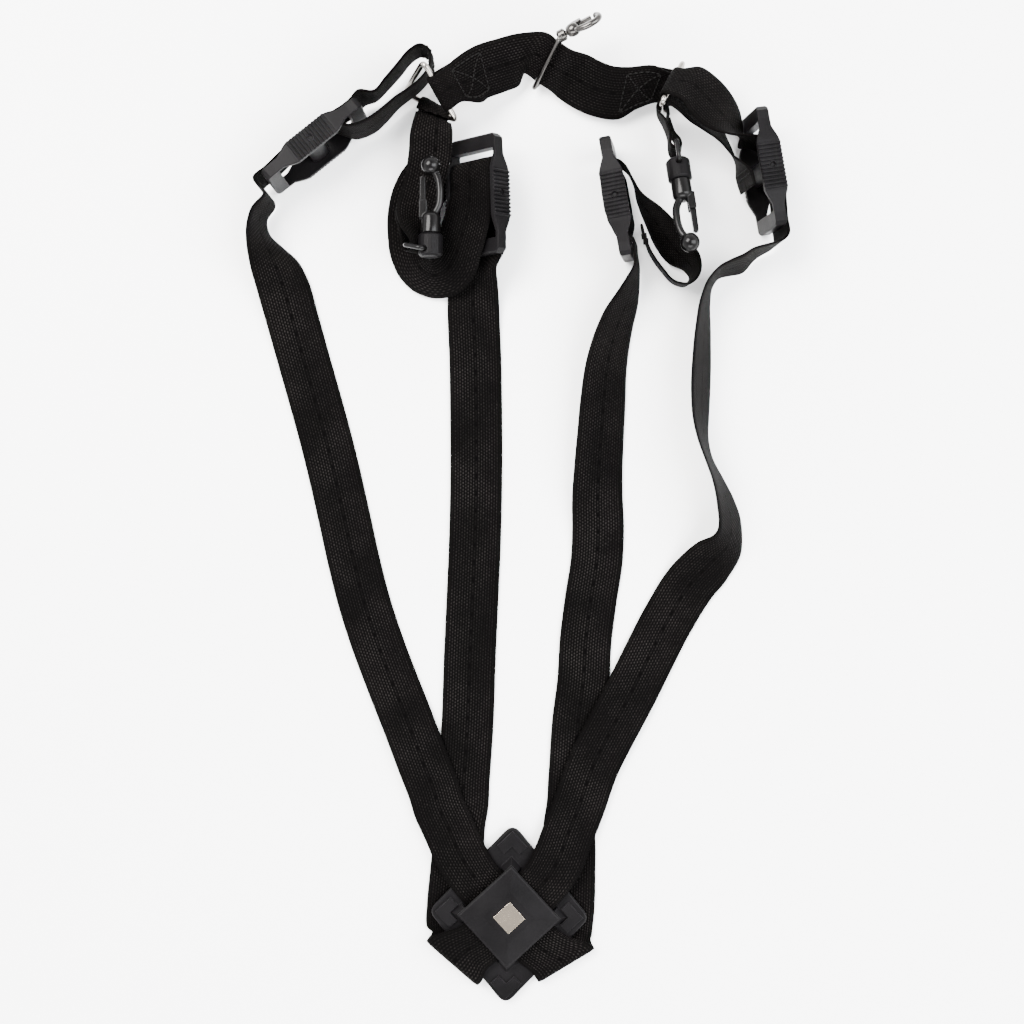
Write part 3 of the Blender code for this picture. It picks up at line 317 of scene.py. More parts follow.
def weave(name, rungs, nodes):
    """A woven strap in place of plain ones: rounded edges, and weave coordinates along it."""
    rows = []
    lengths = [0.0]
    for pair in spread(rungs):
        rows.append([pair[0].lerp(pair[1], j / COLUMNS) for j in range(COLUMNS + 1)])
    for first, second in zip(rows, rows[1:]):
        lengths.append(lengths[-1] + (second[COLUMNS // 2] - first[COLUMNS // 2]).length)
    normals = row_normals(rows)
    wide = TAB_WEB if name.endswith("_tab") else WEB
    RIBBONS[name] = (rows, normals, lengths, wide)
    bm = bmesh.new()
    uv = bm.loops.layers.uv.new("weave")
    top, bottom = [], []
    for row, line in zip(rows, normals):
        half = [thickness_at(j / COLUMNS) for j in range(COLUMNS + 1)]
        top.append([bm.verts.new((p + n * h + SHIFT) * MM) for p, n, h in zip(row, line, half)])
        bottom.append([bm.verts.new((p - n * h + SHIFT) * MM) for p, n, h in zip(row, line, half)])

    def face(corners, places):
        made = bm.faces.new(corners)
        made.smooth = True
        for loop, place in zip(made.loops, places):
            loop[uv].uv = place

    for i in range(len(rows) - 1):
        low, high = lengths[i] / WEB, lengths[i + 1] / WEB
        for j in range(COLUMNS):
            u, v = j / COLUMNS * wide / WEB, (j + 1) / COLUMNS * wide / WEB
            face((top[i][j], top[i + 1][j], top[i + 1][j + 1], top[i][j + 1]),
                 ((u, low), (u, high), (v, high), (v, low)))
            face((bottom[i][j], bottom[i][j + 1], bottom[i + 1][j + 1], bottom[i + 1][j]),
                 ((u, low), (v, low), (v, high), (u, high)))
        for j, order in ((0, 1), (COLUMNS, -1)):
            edge = j / COLUMNS * wide / WEB
            corners = (top[i][j], bottom[i][j], bottom[i + 1][j], top[i + 1][j])
            places = ((edge, low), (edge, low), (edge, high), (edge, high))
            face(corners[::order], places[::order])
    for i, order in ((0, 1), (len(rows) - 1, -1)):
        for j in range(COLUMNS):
            place = (j / COLUMNS * wide / WEB, lengths[i] / WEB)
            corners = (top[i][j], top[i][j + 1], bottom[i][j + 1], bottom[i][j])
            face(corners[::order], (place,) * 4)
    bmesh.ops.recalc_face_normals(bm, faces=bm.faces)
    mesh = bpy.data.meshes.new(name + "_webbing")
    bm.to_mesh(mesh)
    bm.free()
    obj = piece(name + "_webbing", mesh, "webbing", "harness")
    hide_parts(*nodes)
    return obj


def piece(name, mesh, material, body):
    obj = bpy.data.objects.new(name, mesh)
    COLLECTION.objects.link(obj)
    mesh.materials.clear()
    mesh.materials.append(LOOKS[material])
    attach(obj, body)
    return obj


HELD = {
    "left_shoulder_line": ("laid", ["floor", "back_base_plate"]),
    "right_shoulder_line": ("laid", ["floor", "back_base_plate"]),
    "left_underarm_loop": ("folded", ["left_underarm_adjuster"]),
    "right_underarm_loop": ("folded", ["right_underarm_adjuster"]),
    "left_front_loop": ("folded", ["left_shoulder_adjuster"]),
    "right_front_loop": ("folded", ["right_shoulder_adjuster"]),
    "cross_strap": ("gathered", ["left_ring", "right_ring"]),
    "left_tab": ("folded", ["left_ring"]),
    "right_tab": ("gathered", ["right_ring"]),
}


def weave_all():
    """The shoulder straps run on through the plate as the under-arm straps; the rest are single."""
    lines = (("left_shoulder_line", "left_shoulder_strap", "crossing_strap_lower", "right_underarm_strap"),
             ("right_shoulder_line", "right_shoulder_strap", "crossing_strap_upper", "left_underarm_strap"))
    for name, shoulder, crossing, underarm in lines:
        route = reversed_strap(ROUTES[shoulder]) + ROUTES[crossing] + swapped(ROUTES[underarm])
        weave(name, route, (shoulder, crossing, underarm))
    for name in HELD:
        if name in ROUTES:
            weave(name, ROUTES[name], (name,))

def crossing_straps():
    low = LOWER_CROSSING
    strap("crossing_strap_lower", [
        rung(-37.7, -138.3, 2.6, 202), rung(-32.0, -151.5, 3.2, 206), rung(-25.8, -164.6, 5.2, 212),
        rung(-18.4, -175.8, low, 221, 0, 24), rung(-13.2, -181.5, low, 222.5, 0, 23.8),
        rung(-3.1, -192.5, low, 222.5, 0, 23.8), rung(7.0, -203.5, low, 222.5, 0, 23.8),
        rung(11.2, -207.6, low, 221, 0, 24), rung(17.6, -211.6, low, 217, 0, 26),
        *folded(23.2, -214.9, 211, -59, low, ON_FLOOR, 31), rung(24.4, -207.0, ON_FLOOR, 199, 0, 26),
        rung(25.4, -192.0, ON_FLOOR, 183), rung(26.0, -165.0, ON_FLOOR, 178),
        rung(26.5, -146.0, ON_FLOOR, 177)])
    high = UPPER_CROSSING
    strap("crossing_strap_upper", [
        rung(31.6, -137.5, 2.6, 161), rung(25.5, -153.0, 3.6, 156), rung(19.4, -167.6, 6.4, 148),
        rung(13.0, -177.2, high, 136, 0, 24), rung(8.0, -182.3, high, 132.5, 0, 23.8),
        rung(-3.1, -192.5, high, 132.5, 0, 23.8), rung(-14.2, -202.7, high, 132.5, 0, 23.8),
        rung(-18.2, -206.0, high, 133.5, 0, 24), rung(-24.0, -209.2, high, 137, 0, 27),
        *folded(-28.4, -213.3, 139, 229, high, ON_FLOOR, 32), rung(-31.2, -205.0, ON_FLOOR, 152, 0, 26),
        rung(-30.2, -190.0, ON_FLOOR, 171), rung(-27.8, -165.0, ON_FLOOR, 174),
        rung(-26.3, -146.0, ON_FLOOR, 176)])


def left_shoulder_strap():
    place = ADJUSTERS["left_shoulder"]
    strap("left_shoulder_strap", [
        rung(-37.8, -137.9, 2.6, 22), rung(-44.5, -119.5, 2.6, 19.5), rung(-51.5, -101.0, 2.2, 21.5),
        rung(-59.5, -81.0, 0.9, 21.5), rung(-66.8, -61.5, ON_FLOOR, 18.5), rung(-73.0, -42.0, ON_FLOOR, 16),
        rung(-78.0, -22.0, ON_FLOOR, 12.5), rung(-82.0, -3.8, ON_FLOOR, 12),
        rung(-86.3, 15.4, ON_FLOOR, 13.5), rung(-91.0, 34.6, ON_FLOOR, 14),
        rung(-96.3, 54.0, ON_FLOOR, 15.5), rung(-101.7, 73.0, ON_FLOOR, 15.4),
        standing(-107.0, 92.3, 15, -3), standing(-111.5, 108.5, 13, -12), standing(-115.4, 119.5, 8, -34),
        standing(-119.0, 127.0, 0, -56), standing(-121.6, 133.5, -12, -72), standing(-121.2, 140.5, -32, -80),
        rung(-116.2, 148.0, 14.2, -46, -84),
        seat(place, -32, -3.4), seat(place, -25, -BAR_LEVEL), seat(place, -12, -5.0), seat(place, 0, UNDER),
        seat(place, 6, -5.2)])


def right_shoulder_strap():
    place = ADJUSTERS["right_shoulder"]
    strap("right_shoulder_strap", [
        rung(31.7, -137.2, 2.6, -19), rung(36.8, -122.5, 2.6, -23), rung(45.5, -105.0, 2.6, -28),
        rung(55.1, -87.0, 2.4, -28), rung(63.4, -70.5, 1.4, -28), rung(73.0, -52.0, 0.7, -33),
        standing(84.6, -33.4, -40, -5), standing(94.0, -23.0, -46, -22), standing(100.6, -15.0, -28, -46),
        standing(101.6, -6.0, 4, -58), standing(99.6, 4.3, 12, -64), standing(95.8, 15.1, 18, -72),
        standing(91.5, 25.0, 20, -76), standing(88.7, 35.0, 12, -72), standing(87.7, 45.5, 4, -66),
        standing(87.7, 58.0, 0, -63), standing(88.2, 73.0, -2, -64), standing(88.9, 88.0, -3, -68),
        standing(89.9, 100.0, -6, -74), standing(92.2, 108.4, -20, -80), standing(96.4, 113.4, -50, -82),
        standing(101.8, 115.6, -66, -79), standing(107.4, 117.4, -60, -76),
        rung(112.0, 121.4, 13.6, -34, -80),
        seat(place, 32, -3.4), seat(place, 25, -BAR_LEVEL), seat(place, 12, -5.0), seat(place, 0, UNDER),
        seat(place, -6, -5.2)])


def left_underarm_strap():
    place = ADJUSTERS["left_underarm"]
    strap("left_underarm_strap", [
        rung(-26.2, -145.6, ON_FLOOR, -3), rung(-24.9, -129.0, ON_FLOOR, -3),
        rung(-23.0, -100.0, ON_FLOOR, -2),
        rung(-22.0, -71.0, ON_FLOOR, -2), rung(-20.7, -42.0, ON_FLOOR, -3), rung(-19.5, -13.5, ON_FLOOR, -2),
        rung(-19.0, 5.8, ON_FLOOR, 0), rung(-19.0, 53.8, ON_FLOOR, 0), rung(-19.4, 76.0, ON_FLOOR, 3),
        standing(-20.0, 90.0, 4, 2), standing(-20.3, 100.5, 4, 8), rung(-20.2, 108.0, 5.6, 4, 20),
        rung(-19.4, 114.2, 9.2, 3, 34),
        seat(place, -26, -BAR_LEVEL), seat(place, -12, -5.0), seat(place, 0, UNDER), seat(place, 8, -4.9),
        seat(place, 13, -4.4), seat(place, 15.4, -3.4)])


def right_underarm_strap():
    place = ADJUSTERS["right_underarm"]
    strap("right_underarm_strap", [
        rung(26.6, -145.6, ON_FLOOR, -4), rung(28.1, -129.0, ON_FLOOR, -4), rung(30.1, -100.0, ON_FLOOR, -4),
        rung(32.5, -80.8, ON_FLOOR, -4), rung(33.7, -61.5, ON_FLOOR, -5), rung(36.1, -42.3, ON_FLOOR, -7),
        rung(39.0, -23.0, ON_FLOOR, -4), standing(39.6, -8.0, 1, -3), standing(39.2, 6.0, 0, -11),
        standing(39.6, 21.0, -3, -20), standing(40.6, 37.0, -4, -25), standing(41.8, 54.0, -6, -29),
        standing(43.2, 69.0, -10, -36), standing(45.9, 82.0, -15, -44), standing(49.2, 92.3, -20, -52),
        standing(53.0, 101.0, -18, -62), standing(55.6, 109.0, -6, -72), rung(57.2, 115.6, 14.4, 8, -80),
        seat(place, -25, 4.1), seat(place, -20.5, 4.4), seat(place, -17.2, 2.0),
        seat(place, -14, -2.4), seat(place, -9, -5.0), seat(place, 0, -5.6),
        seat(place, 8, -5.1), seat(place, 13, -4.4), seat(place, 15.4, -3.4)])


def left_underarm_loop():
    place = ADJUSTERS["left_underarm"]
    strap("left_underarm_loop", [
        seat(place, 16.1, -2.8), seat(place, 17.0, -0.4), seat(place, 16.2, 2.4), seat(place, 13.4, 4.2),
        seat(place, 4, 4.6), rung(-22.2, 141.0, 19.4, -8, 30), rung(-24.4, 132.0, 18.8, -12, 26),
        rung(-27.0, 124.0, 16.6, -18, 25), rung(-30.2, 117.8, 13.2, -34, 6),
        rung(-34.2, 113.8, 11.0, -58, -18), rung(-39.0, 112.6, 9.8, -84, -34),
        rung(-43.6, 114.8, 8.6, -112, -34), rung(-46.8, 119.6, 6.6, -138, -26),
        rung(-48.4, 126.0, 4.4, -160, -14), rung(-49.0, 134.0, 2.2, 184, -5), rung(-48.8, 143.0, 1.6, 176, 0),
        rung(-46.6, 152.0, 1.6, 160, 0), rung(-41.4, 160.0, 1.6, 140, 0), rung(-34.5, 164.6, 1.6, 112, 0)], 3)


def right_underarm_loop():
    place = ADJUSTERS["right_underarm"]
    strap("right_underarm_loop", [
        seat(place, 16.1, -2.8), seat(place, 17.2, -0.2), seat(place, 16.8, 3.4), seat(place, 13.6, 6.6),
        seat(place, 8.0, 8.6), rung(58.4, 148.2, 15.0, -70, -88), rung(65.0, 139.8, 14.0, 216, -75),
        rung(71.8, 130.2, 12.4, 220, -63, 24.5), rung(78.6, 121.8, 12.6, 214, -64, 24.5),
        rung(83.4, 116.8, 13.2, 196, -76), rung(84.6, 111.6, 13.4, 156, -84),
        rung(81.2, 107.6, 13.4, 100, -86), rung(75.4, 108.4, 13.2, 58, -84),
        rung(69.2, 114.6, 13.2, 44, -84), rung(63.2, 123.6, 13.4, 37, -84), rung(61.0, 129.6, 13.6, 32, -84),
        rung(59.6, 134.6, 13.8, 26, -84)])


def left_front_loop():
    place = ADJUSTERS["left_shoulder"]
    strap("left_front_loop", [
        seat(place, 7.0, -5.1), seat(place, 11.5, -3.6), seat(place, 14.6, 0.6), seat(place, 17.6, 5.2),
        seat(place, 22.5, 7.6), seat(place, 28.0, 8.6), rung(-61.4, 187.2, 17.4, -52, -87, 23.5),
        rung(-55.6, 192.6, 18.0, -50, -89, 22), rung(-50.2, 196.4, 18.4, -50, -90, 21),
        rung(-45.2, 200.4, 18.4, -46, -90, 21), rung(-41.4, 205.0, 18.4, -30, -90, 21),
        rung(-39.4, 210.4, 18.2, -10, -90, 22), rung(-40.4, 215.0, 18.0, 40, -90, 23),
        rung(-44.6, 217.0, 17.8, 92, -90, 23), rung(-49.2, 214.6, 17.6, 130, -90, 23),
        rung(-54.4, 208.6, 17.4, 132, -90, 24), rung(-60.4, 201.8, 17.2, 132, -89, 24.5),
        rung(-66.8, 195.6, 16.8, 130, -88), seat(place, 31.5, -4.6), seat(place, 25.0, -BAR_LEVEL),
        seat(place, 20.0, -BAR_LEVEL), seat(place, 15.4, -4.4)])


def right_front_loop():
    place = ADJUSTERS["right_shoulder"]
    bar = bar_of(RIGHT_RING["tab"], RIGHT_RING["front"], 18.0, -2.0)
    across = across_of(bar)
    away = square_to(Vector((-0.8, 0.5, 0)), across)
    up = away.cross(across)
    if up.z < 0:
        up = -up
    strap("right_front_loop", [
        seat(place, -7.0, -5.1), seat(place, -11.5, -3.4), seat(place, -14.2, 1.2), seat(place, -15.6, 6.0),
        rung(104.4, 177.4, 17.8, 32, -69), rung(99.8, 182.4, 20.0, 40, -44), rung(94.0, 188.2, 22.6, 46, -27),
        rung(87.6, 194.2, 25.0, 53, -22, 24.5), rung(81.4, 199.4, 26.4, 60, -27, 23),
        *bend(middle_of(bar), across, away, up, WRAP, 90, -90, 6, 18.0),
        rung(79.6, 194.6, 20.0, 60, -36, 22), rung(86.0, 189.0, 16.6, 52, -44, 23.5),
        rung(92.6, 182.4, 14.0, 44, -58),
        rung(98.6, 175.0, 13.6, 34, -70), rung(103.4, 166.6, 14.6, 22, -79),
        seat(place, 0.0, 9.6), seat(place, 7.0, 8.6)])


def cross_strap():
    left = bar_of(LEFT_RING["front"], LEFT_RING["tab"], 17.5)
    right = bar_of(RIGHT_RING["front"], RIGHT_RING["low"], 16.0)
    rungs = []
    for bar, ahead, order in ((left, Vector((0.85, 0.52, -0.1)), (-90, 90)),
                              (right, Vector((-0.95, -0.25, 0)), (90, -90))):
        across = across_of(bar)
        inward = square_to(ahead, across)
        up = inward.cross(across)
        if up.z < 0:
            up = -up
        width = (bar[1] - bar[0]).length
        turns = bend(middle_of(bar), across, -inward, up, WRAP, *order, 6, width)
        below = [shifted(bar, inward * 13.5 - up * 0.9), shifted(bar, inward * 6.0 - up * 1.9)]
        reach = (5.5, 1.0) if bar[0].y < bar[1].y else (1.0, 5.5)
        spread_bar = (bar[0] - across * reach[0], bar[1] + across * reach[1])
        above = [shifted(bar, inward * 6.0 + up * 1.9), shifted(spread_bar, inward * 13.5 + up * 0.9)]
        if bar is left:
            rungs += below + turns + above
        else:
            tail = above[::-1] + turns + below[::-1]
    rungs += [
        rung(-16.0, 206.6, 18.6, -73, -28), rung(-6.6, 210.6, 15.6, -80, -28),
        rung(2.6, 214.2, 13.4, -94, -34),
        seat(SLIDER, -8, 0), seat(SLIDER, 0, 0), seat(SLIDER, 7, 0),
        rung(27.6, 206.6, 9.6, -126, -28), rung(34.4, 203.0, 8.4, -119, -16),
        rung(42.0, 200.0, 8.6, -111, -14),
        rung(51.0, 198.8, 9.8, -103, -20)]
    strap("cross_strap", rungs + tail)


def bail_bar(side, width):
    """The cross line of a hook's bail bar, left end first."""
    place = HOOKS[side]
    swing = math.radians(place["swing"])
    x = BAIL_PIVOT - BAIL_LENGTH * math.cos(swing)
    z = -BAIL_LENGTH * math.sin(swing)
    pair = seat(place, x, z, width)
    return pair


def tabs():
    ring = bar_of(LEFT_RING["low"], LEFT_RING["tab"], 17.0, 2.4)
    bar = bail_bar("left", BAIL_WEB)
    bar = bar if across_of(bar).z < 0 else (bar[1], bar[0])
    strap("left_tab", doubled((ring, bar), [
        rung(-38.6, 185.4, 15.6, -22, 16, 19), rung(-39.6, 177.6, 17.6, -8, 6, TAB_WEB),
        rung(-40.4, 169.4, 15.4, -2, 0, TAB_WEB), rung(-42.0, 161.0, 13.6, 3, -2, TAB_WEB),
        rung(-44.6, 151.5, 13.2, 6, -8, TAB_WEB), rung(-47.2, 142.0, 14.2, 4, -22, TAB_WEB),
        rung(-48.0, 133.0, 17.6, 1, -44, 17)], 0.95))
    ring = bar_of(RIGHT_RING["tab"], RIGHT_RING["low"], 15.5, 1.5)
    bar = bail_bar("right", BAIL_WEB)
    bar = bar if across_of(bar).z < 0 else (bar[1], bar[0])
    strap("right_tab", doubled((ring, bar), [
        rung(70.8, 183.0, 18.2, 10, -88, 18.5), rung(73.0, 177.0, 18.0, 10, -89, 16)], 0.95))


# ---------------------------------------------------------------- materials

class Nodes:
    """Short calls for building a material's node tree."""

    def __init__(self, name):
        self.material = bpy.data.materials.new(name)
        self.material.use_nodes = True
        self.tree = self.material.node_tree
        self.shader = self.tree.nodes["Principled BSDF"]

    def add(self, kind, **values):
        node = self.tree.nodes.new(kind)
        for key, value in values.items():
            setattr(node, key, value)
        return node

    def set(self, socket, value):
        if isinstance(value, bpy.types.NodeSocket):
            self.tree.links.new(value, socket)
        else:
            socket.default_value = value

    def math(self, operation, first, second=0.0, third=0.0):
        node = self.add("ShaderNodeMath", operation=operation)
        for socket, value in zip(node.inputs, (first, second, third)):
            self.set(socket, value)
        return node.outputs[0]

    def wave(self, value):
        """A cosine from 0 to 1 that peaks at whole numbers."""
        angle = self.math("MULTIPLY", value, 2 * math.pi)
        return self.math("MULTIPLY_ADD", self.math("COSINE", angle), 0.5, 0.5)

    def between(self, value, low, high, start=0.0, end=1.0):
        node = self.add("ShaderNodeMapRange")
        node.interpolation_type = "SMOOTHSTEP"
        for key, number in zip(("Value", "From Min", "From Max", "To Min", "To Max"),
                               (value, low, high, start, end)):
            self.set(node.inputs[key], number)
        return node.outputs[0]

    def noise(self, scale, detail=3.0, vector=None, rough=0.5):
        node = self.add("ShaderNodeTexNoise")
        node.inputs["Scale"].default_value = scale
        node.inputs["Detail"].default_value = detail
        node.inputs["Roughness"].default_value = rough
        if vector is None:
            vector = self.add("ShaderNodeTexCoord").outputs["Object"]
        self.tree.links.new(vector, node.inputs["Vector"])
        return node.outputs[0]

    def ramp(self, value, *stops):
        node = self.add("ShaderNodeValToRGB")
        while len(node.color_ramp.elements) < len(stops):
            node.color_ramp.elements.new(0.5)
        for element, (place, colour) in zip(node.color_ramp.elements, stops):
            element.position = place
            element.color = (*colour, 1)
        self.set(node.inputs[0], value)
        return node.outputs[0]

    def bump(self, height, distance, strength=1.0, normal=None):
        node = self.add("ShaderNodeBump")
        node.inputs["Distance"].default_value = distance
        node.inputs["Strength"].default_value = strength
        self.set(node.inputs["Height"], height)
        if normal is not None:
            self.set(node.inputs["Normal"], normal)
        return node.outputs[0]

    def rounded_edge(self, radius):
        """The normal with edges rounded, and how near an edge is, from 0 to 1."""
        node = self.add("ShaderNodeBevel", samples=6)
        node.inputs["Radius"].default_value = radius
        dot = self.add("ShaderNodeVectorMath", operation="DOT_PRODUCT")
        self.set(dot.inputs[0], node.outputs[0])
        self.set(dot.inputs[1], self.add("ShaderNodeNewGeometry").outputs["True Normal"])
        return node.outputs[0], self.between(dot.outputs["Value"], 0.995, 0.86)

    def finish(self, **sockets):
        for key, value in sockets.items():
            self.set(self.shader.inputs[key.replace("_", " ")], value)
        return self.material


def webbing_look():
    """Two columns of broken twill that meet in a centre line with binder marks; the colour carries painted
    shade in the weave's hollows.
    """
    n = Nodes("woven_webbing")
    uv = n.add("ShaderNodeUVMap", uv_map="weave")
    split = n.add("ShaderNodeSeparateXYZ")
    n.set(split.inputs[0], uv.outputs[0])
    across = n.math("MULTIPLY_ADD", split.outputs[0], WEB, -WEB / 2)
    along = n.math("MULTIPLY", split.outputs[1], WEB)
    wobble = n.math("MULTIPLY", n.noise(260.0, 2.0), 0.5)
    along = n.math("ADD", along, wobble)
    side = n.math("ABSOLUTE", across)
    yarn = n.math("DIVIDE", side, YARN)
    column = n.math("FLOOR", n.math("ADD", yarn, 0.5))
    warp = n.wave(n.math("SUBTRACT", yarn, column))
    phase = n.math("MULTIPLY_ADD", column, 0.5, n.math("DIVIDE", along, FLOAT))
    step = n.wave(phase)
    weft = n.wave(n.math("DIVIDE", along, FLOAT / 2))
    height = n.math("MULTIPLY", warp, n.math("MULTIPLY_ADD", step, 0.75, 0.25))
    edge = n.between(side, 10.9, 11.4)
    height = n.math("ADD", n.math("MULTIPLY", height, n.math("SUBTRACT", 1.0, edge)),
                    n.math("MULTIPLY", n.math("MULTIPLY", edge, weft), 0.55))
    centre = n.between(side, 1.1, 0.5)
    tick = n.between(n.wave(n.math("DIVIDE", along, TICK)), 0.72, 0.9)
    mark = n.math("MULTIPLY", centre, n.math("MULTIPLY_ADD", tick, 0.75, 0.25))
    height = n.math("MULTIPLY", height, n.math("SUBTRACT", 1.0, mark))
    patch = n.noise(38.0, 4.0)
    # painted shade and light: tone follows the weave's height, so the ramp below paints the hollows between
    # yarns dark and the yarn tops light; patch adds a slow random tone
    tone = n.math("MULTIPLY", height, n.between(patch, 0.3, 0.72, 0.55, 1.15))
    fleck = n.between(n.noise(900.0, 1.0), 0.35, 0.75, 0.75, 1.2)
    colour = n.ramp(n.math("MULTIPLY", tone, fleck), (0.0, (0.0003, 0.0002, 0.0002)),
                    (0.4, (0.0013, 0.0011, 0.00105)), (1.0, (0.0105, 0.0093, 0.0088)))
    rough = n.between(height, 0.0, 1.0, 0.82, 0.6)
    fibre = n.math("ADD", height, n.math("MULTIPLY", n.noise(1500.0, 2.0), 0.12))
    n.shader.inputs["Sheen Weight"].default_value = 0.002
    n.shader.inputs["Sheen Roughness"].default_value = 0.45
    n.shader.inputs["Specular IOR Level"].default_value = 0.018
    return n.finish(Base_Color=colour, Roughness=rough, Normal=n.bump(fibre, 0.00032, 0.85))


def thread_look():
    n = Nodes("stitch_thread")
    strand = n.noise(2600.0, 2.0)
    n.shader.inputs["Specular IOR Level"].default_value = 0.06
    return n.finish(Base_Color=n.ramp(strand, (0.2, (0.0012, 0.0011, 0.001)), (0.8, (0.0045, 0.0042, 0.004))),
                    Roughness=n.between(strand, 0.2, 0.8, 0.42, 0.7), Normal=n.bump(strand, 0.0001, 0.7))


def plastic_look(name, dark, light, edge_colour, rough, grain, radius, shine=0.04):
    """Moulded plastic: a fine grain, slow tone changes and polished edges."""
    n = Nodes(name)
    normal, near_edge = n.rounded_edge(radius)
    patch = n.noise(55.0, 4.0)
    rub = n.math("MULTIPLY", near_edge, n.between(n.noise(140.0, 3.0), 0.35, 0.7))
    body = n.ramp(patch, (0.25, dark), (0.8, light))
    mix = n.add("ShaderNodeMix", data_type="RGBA")
    n.set(mix.inputs["Factor"], n.math("MULTIPLY", rub, 0.8))
    n.set(mix.inputs["A"], body)
    mix.inputs["B"].default_value = (*edge_colour, 1)
    roughness = n.math("SUBTRACT", n.between(patch, 0.2, 0.8, rough - 0.05, rough + 0.07),
                       n.math("MULTIPLY", rub, 0.12))
    texture = n.noise(1700.0, 2.0)
    n.shader.inputs["Specular IOR Level"].default_value = shine
    return n.finish(Base_Color=mix.outputs["Result"], Roughness=roughness,
                    Normal=n.bump(texture, grain, 0.6, normal))


def nickel_look(name, dark, light, radius=0.0003):
    """Polished plate with faint scratches and duller hollows."""
    n = Nodes(name)
    normal, near_edge = n.rounded_edge(radius)
    cloud = n.noise(90.0, 5.0, rough=0.6)
    coordinates = n.add("ShaderNodeMapping")
    n.set(coordinates.inputs["Vector"], n.add("ShaderNodeTexCoord").outputs["Object"])
    coordinates.inputs["Scale"].default_value = (1, 14, 6)
    scratch = n.noise(420.0, 3.0, coordinates.outputs[0], 0.7)
    n.shader.inputs["Metallic"].default_value = 1.0
    colour = n.ramp(cloud, (0.25, dark), (0.75, light))
    rough = n.math("ADD", n.between(cloud, 0.2, 0.8, 0.26, 0.12), n.between(scratch, 0.55, 0.75, 0.0, 0.12))
    return n.finish(Base_Color=colour, Roughness=rough, Normal=n.bump(scratch, 0.00003, 0.5, normal))


LOOKS = {
    "webbing": webbing_look(),
    "thread": thread_look(),
    "plastic": plastic_look("moulded_plastic", (0.0017, 0.00155, 0.0017), (0.0035, 0.0032, 0.0035),
                            (0.012, 0.0115, 0.0122), 0.42, 0.00008, 0.0005),
    "gloss_plastic": plastic_look("gloss_moulding", (0.0012, 0.0011, 0.0011), (0.003, 0.0028, 0.0029),
                                  (0.01, 0.01, 0.0105), 0.2, 0.00002, 0.0004, 0.1),
    "nickel": nickel_look("nickel_plate", (0.13, 0.12, 0.11), (0.30, 0.285, 0.265)),
    "badge": nickel_look("badge_metal", (0.36, 0.305, 0.235), (0.60, 0.52, 0.41), 0.00012),
    "dark_nickel": nickel_look("dark_nickel", (0.024, 0.0225, 0.0215), (0.07, 0.067, 0.064)),
}


# ---------------------------------------------------------------- stitching

def on_strap(name, fraction, place):
    """The point and normal on a strap's outer face at a fraction across and a distance along."""
    rows, normals, lengths, _ = RIBBONS[name]
    i = 0
    while i < len(lengths) - 2 and lengths[i + 1] < place:
        i += 1
    t = max(0.0, min(1.0, (place - lengths[i]) / (lengths[i + 1] - lengths[i])))
    column = min(COLUMNS - 1, int(fraction * COLUMNS))
    s = fraction * COLUMNS - column
    first = rows[i][column].lerp(rows[i][column + 1], s)
    second = rows[i + 1][column].lerp(rows[i + 1][column + 1], s)
    return first.lerp(second, t), normals[i][column].lerp(normals[i + 1][column], t).normalized()


def add_stitch(bm, start, end, normal):
    """One thread float: a low arch between two needle holes."""
    along = (end - start).normalized()
    across = along.cross(normal).normalized()
    rings = []
    for t, size in ((0.0, 0.35), (0.18, 0.8), (0.5, 1.0), (0.82, 0.8), (1.0, 0.35)):
        rise = THREAD * (1.5 * math.sin(math.pi * t) - 0.35)
        middle = start.lerp(end, t) + normal * rise
        ring = []
        for k in range(6):
            angle = math.pi * k / 3
            ring.append(bm.verts.new(
                (middle + (across * math.cos(angle) + normal * math.sin(angle)) * THREAD * size
                 + SHIFT) * MM))
        rings.append(ring)
    for first, second in zip(rings, rings[1:]):
        for k in range(6):
            bm.faces.new((first[k], first[(k + 1) % 6], second[(k + 1) % 6], second[k])).smooth = True
    bm.faces.new(rings[0][::-1])
    bm.faces.new(rings[-1])


def sew(name, title, runs, both=(1,)):
    """Rows of stitches on a strap; a run is a list of (fraction across, distance along) corners."""
    bm = bmesh.new()
    pitch = 2.5
    wide = RIBBONS[name][3]
    for run in runs:
        for a, b in zip(run, run[1:]):
            reach = math.hypot((b[0] - a[0]) * wide, b[1] - a[1])
            count = max(1, round(reach / pitch))
            for k in range(count):
                t0, t1 = (k + 0.08) / count, (k + 0.92) / count
                for face in both:
                    start, normal = on_strap(name, a[0] + (b[0] - a[0]) * t0, a[1] + (b[1] - a[1]) * t0)
                    end, _ = on_strap(name, a[0] + (b[0] - a[0]) * t1, a[1] + (b[1] - a[1]) * t1)
                    lift = normal * face * WEB_THICK / 2
                    add_stitch(bm, start + lift, end + lift, normal * face)
    bmesh.ops.recalc_face_normals(bm, faces=bm.faces)
    mesh = bpy.data.meshes.new(title)
    bm.to_mesh(mesh)
    bm.free()
    return piece(title, mesh, "thread", "harness")


def box_stitch(start, end, left=0.14, right=0.86):
    """A crossed box, as runs."""
    return [[(left, start), (right, start), (right, end), (left, end), (left, start)],
            [(left, start), (right, end)], [(right, start), (left, end)]]


def hem(place, gap=2.6):
    """Two rows across a strap."""
    return [[(0.08, place), (0.92, place)], [(0.08, place + gap), (0.92, place + gap)]]


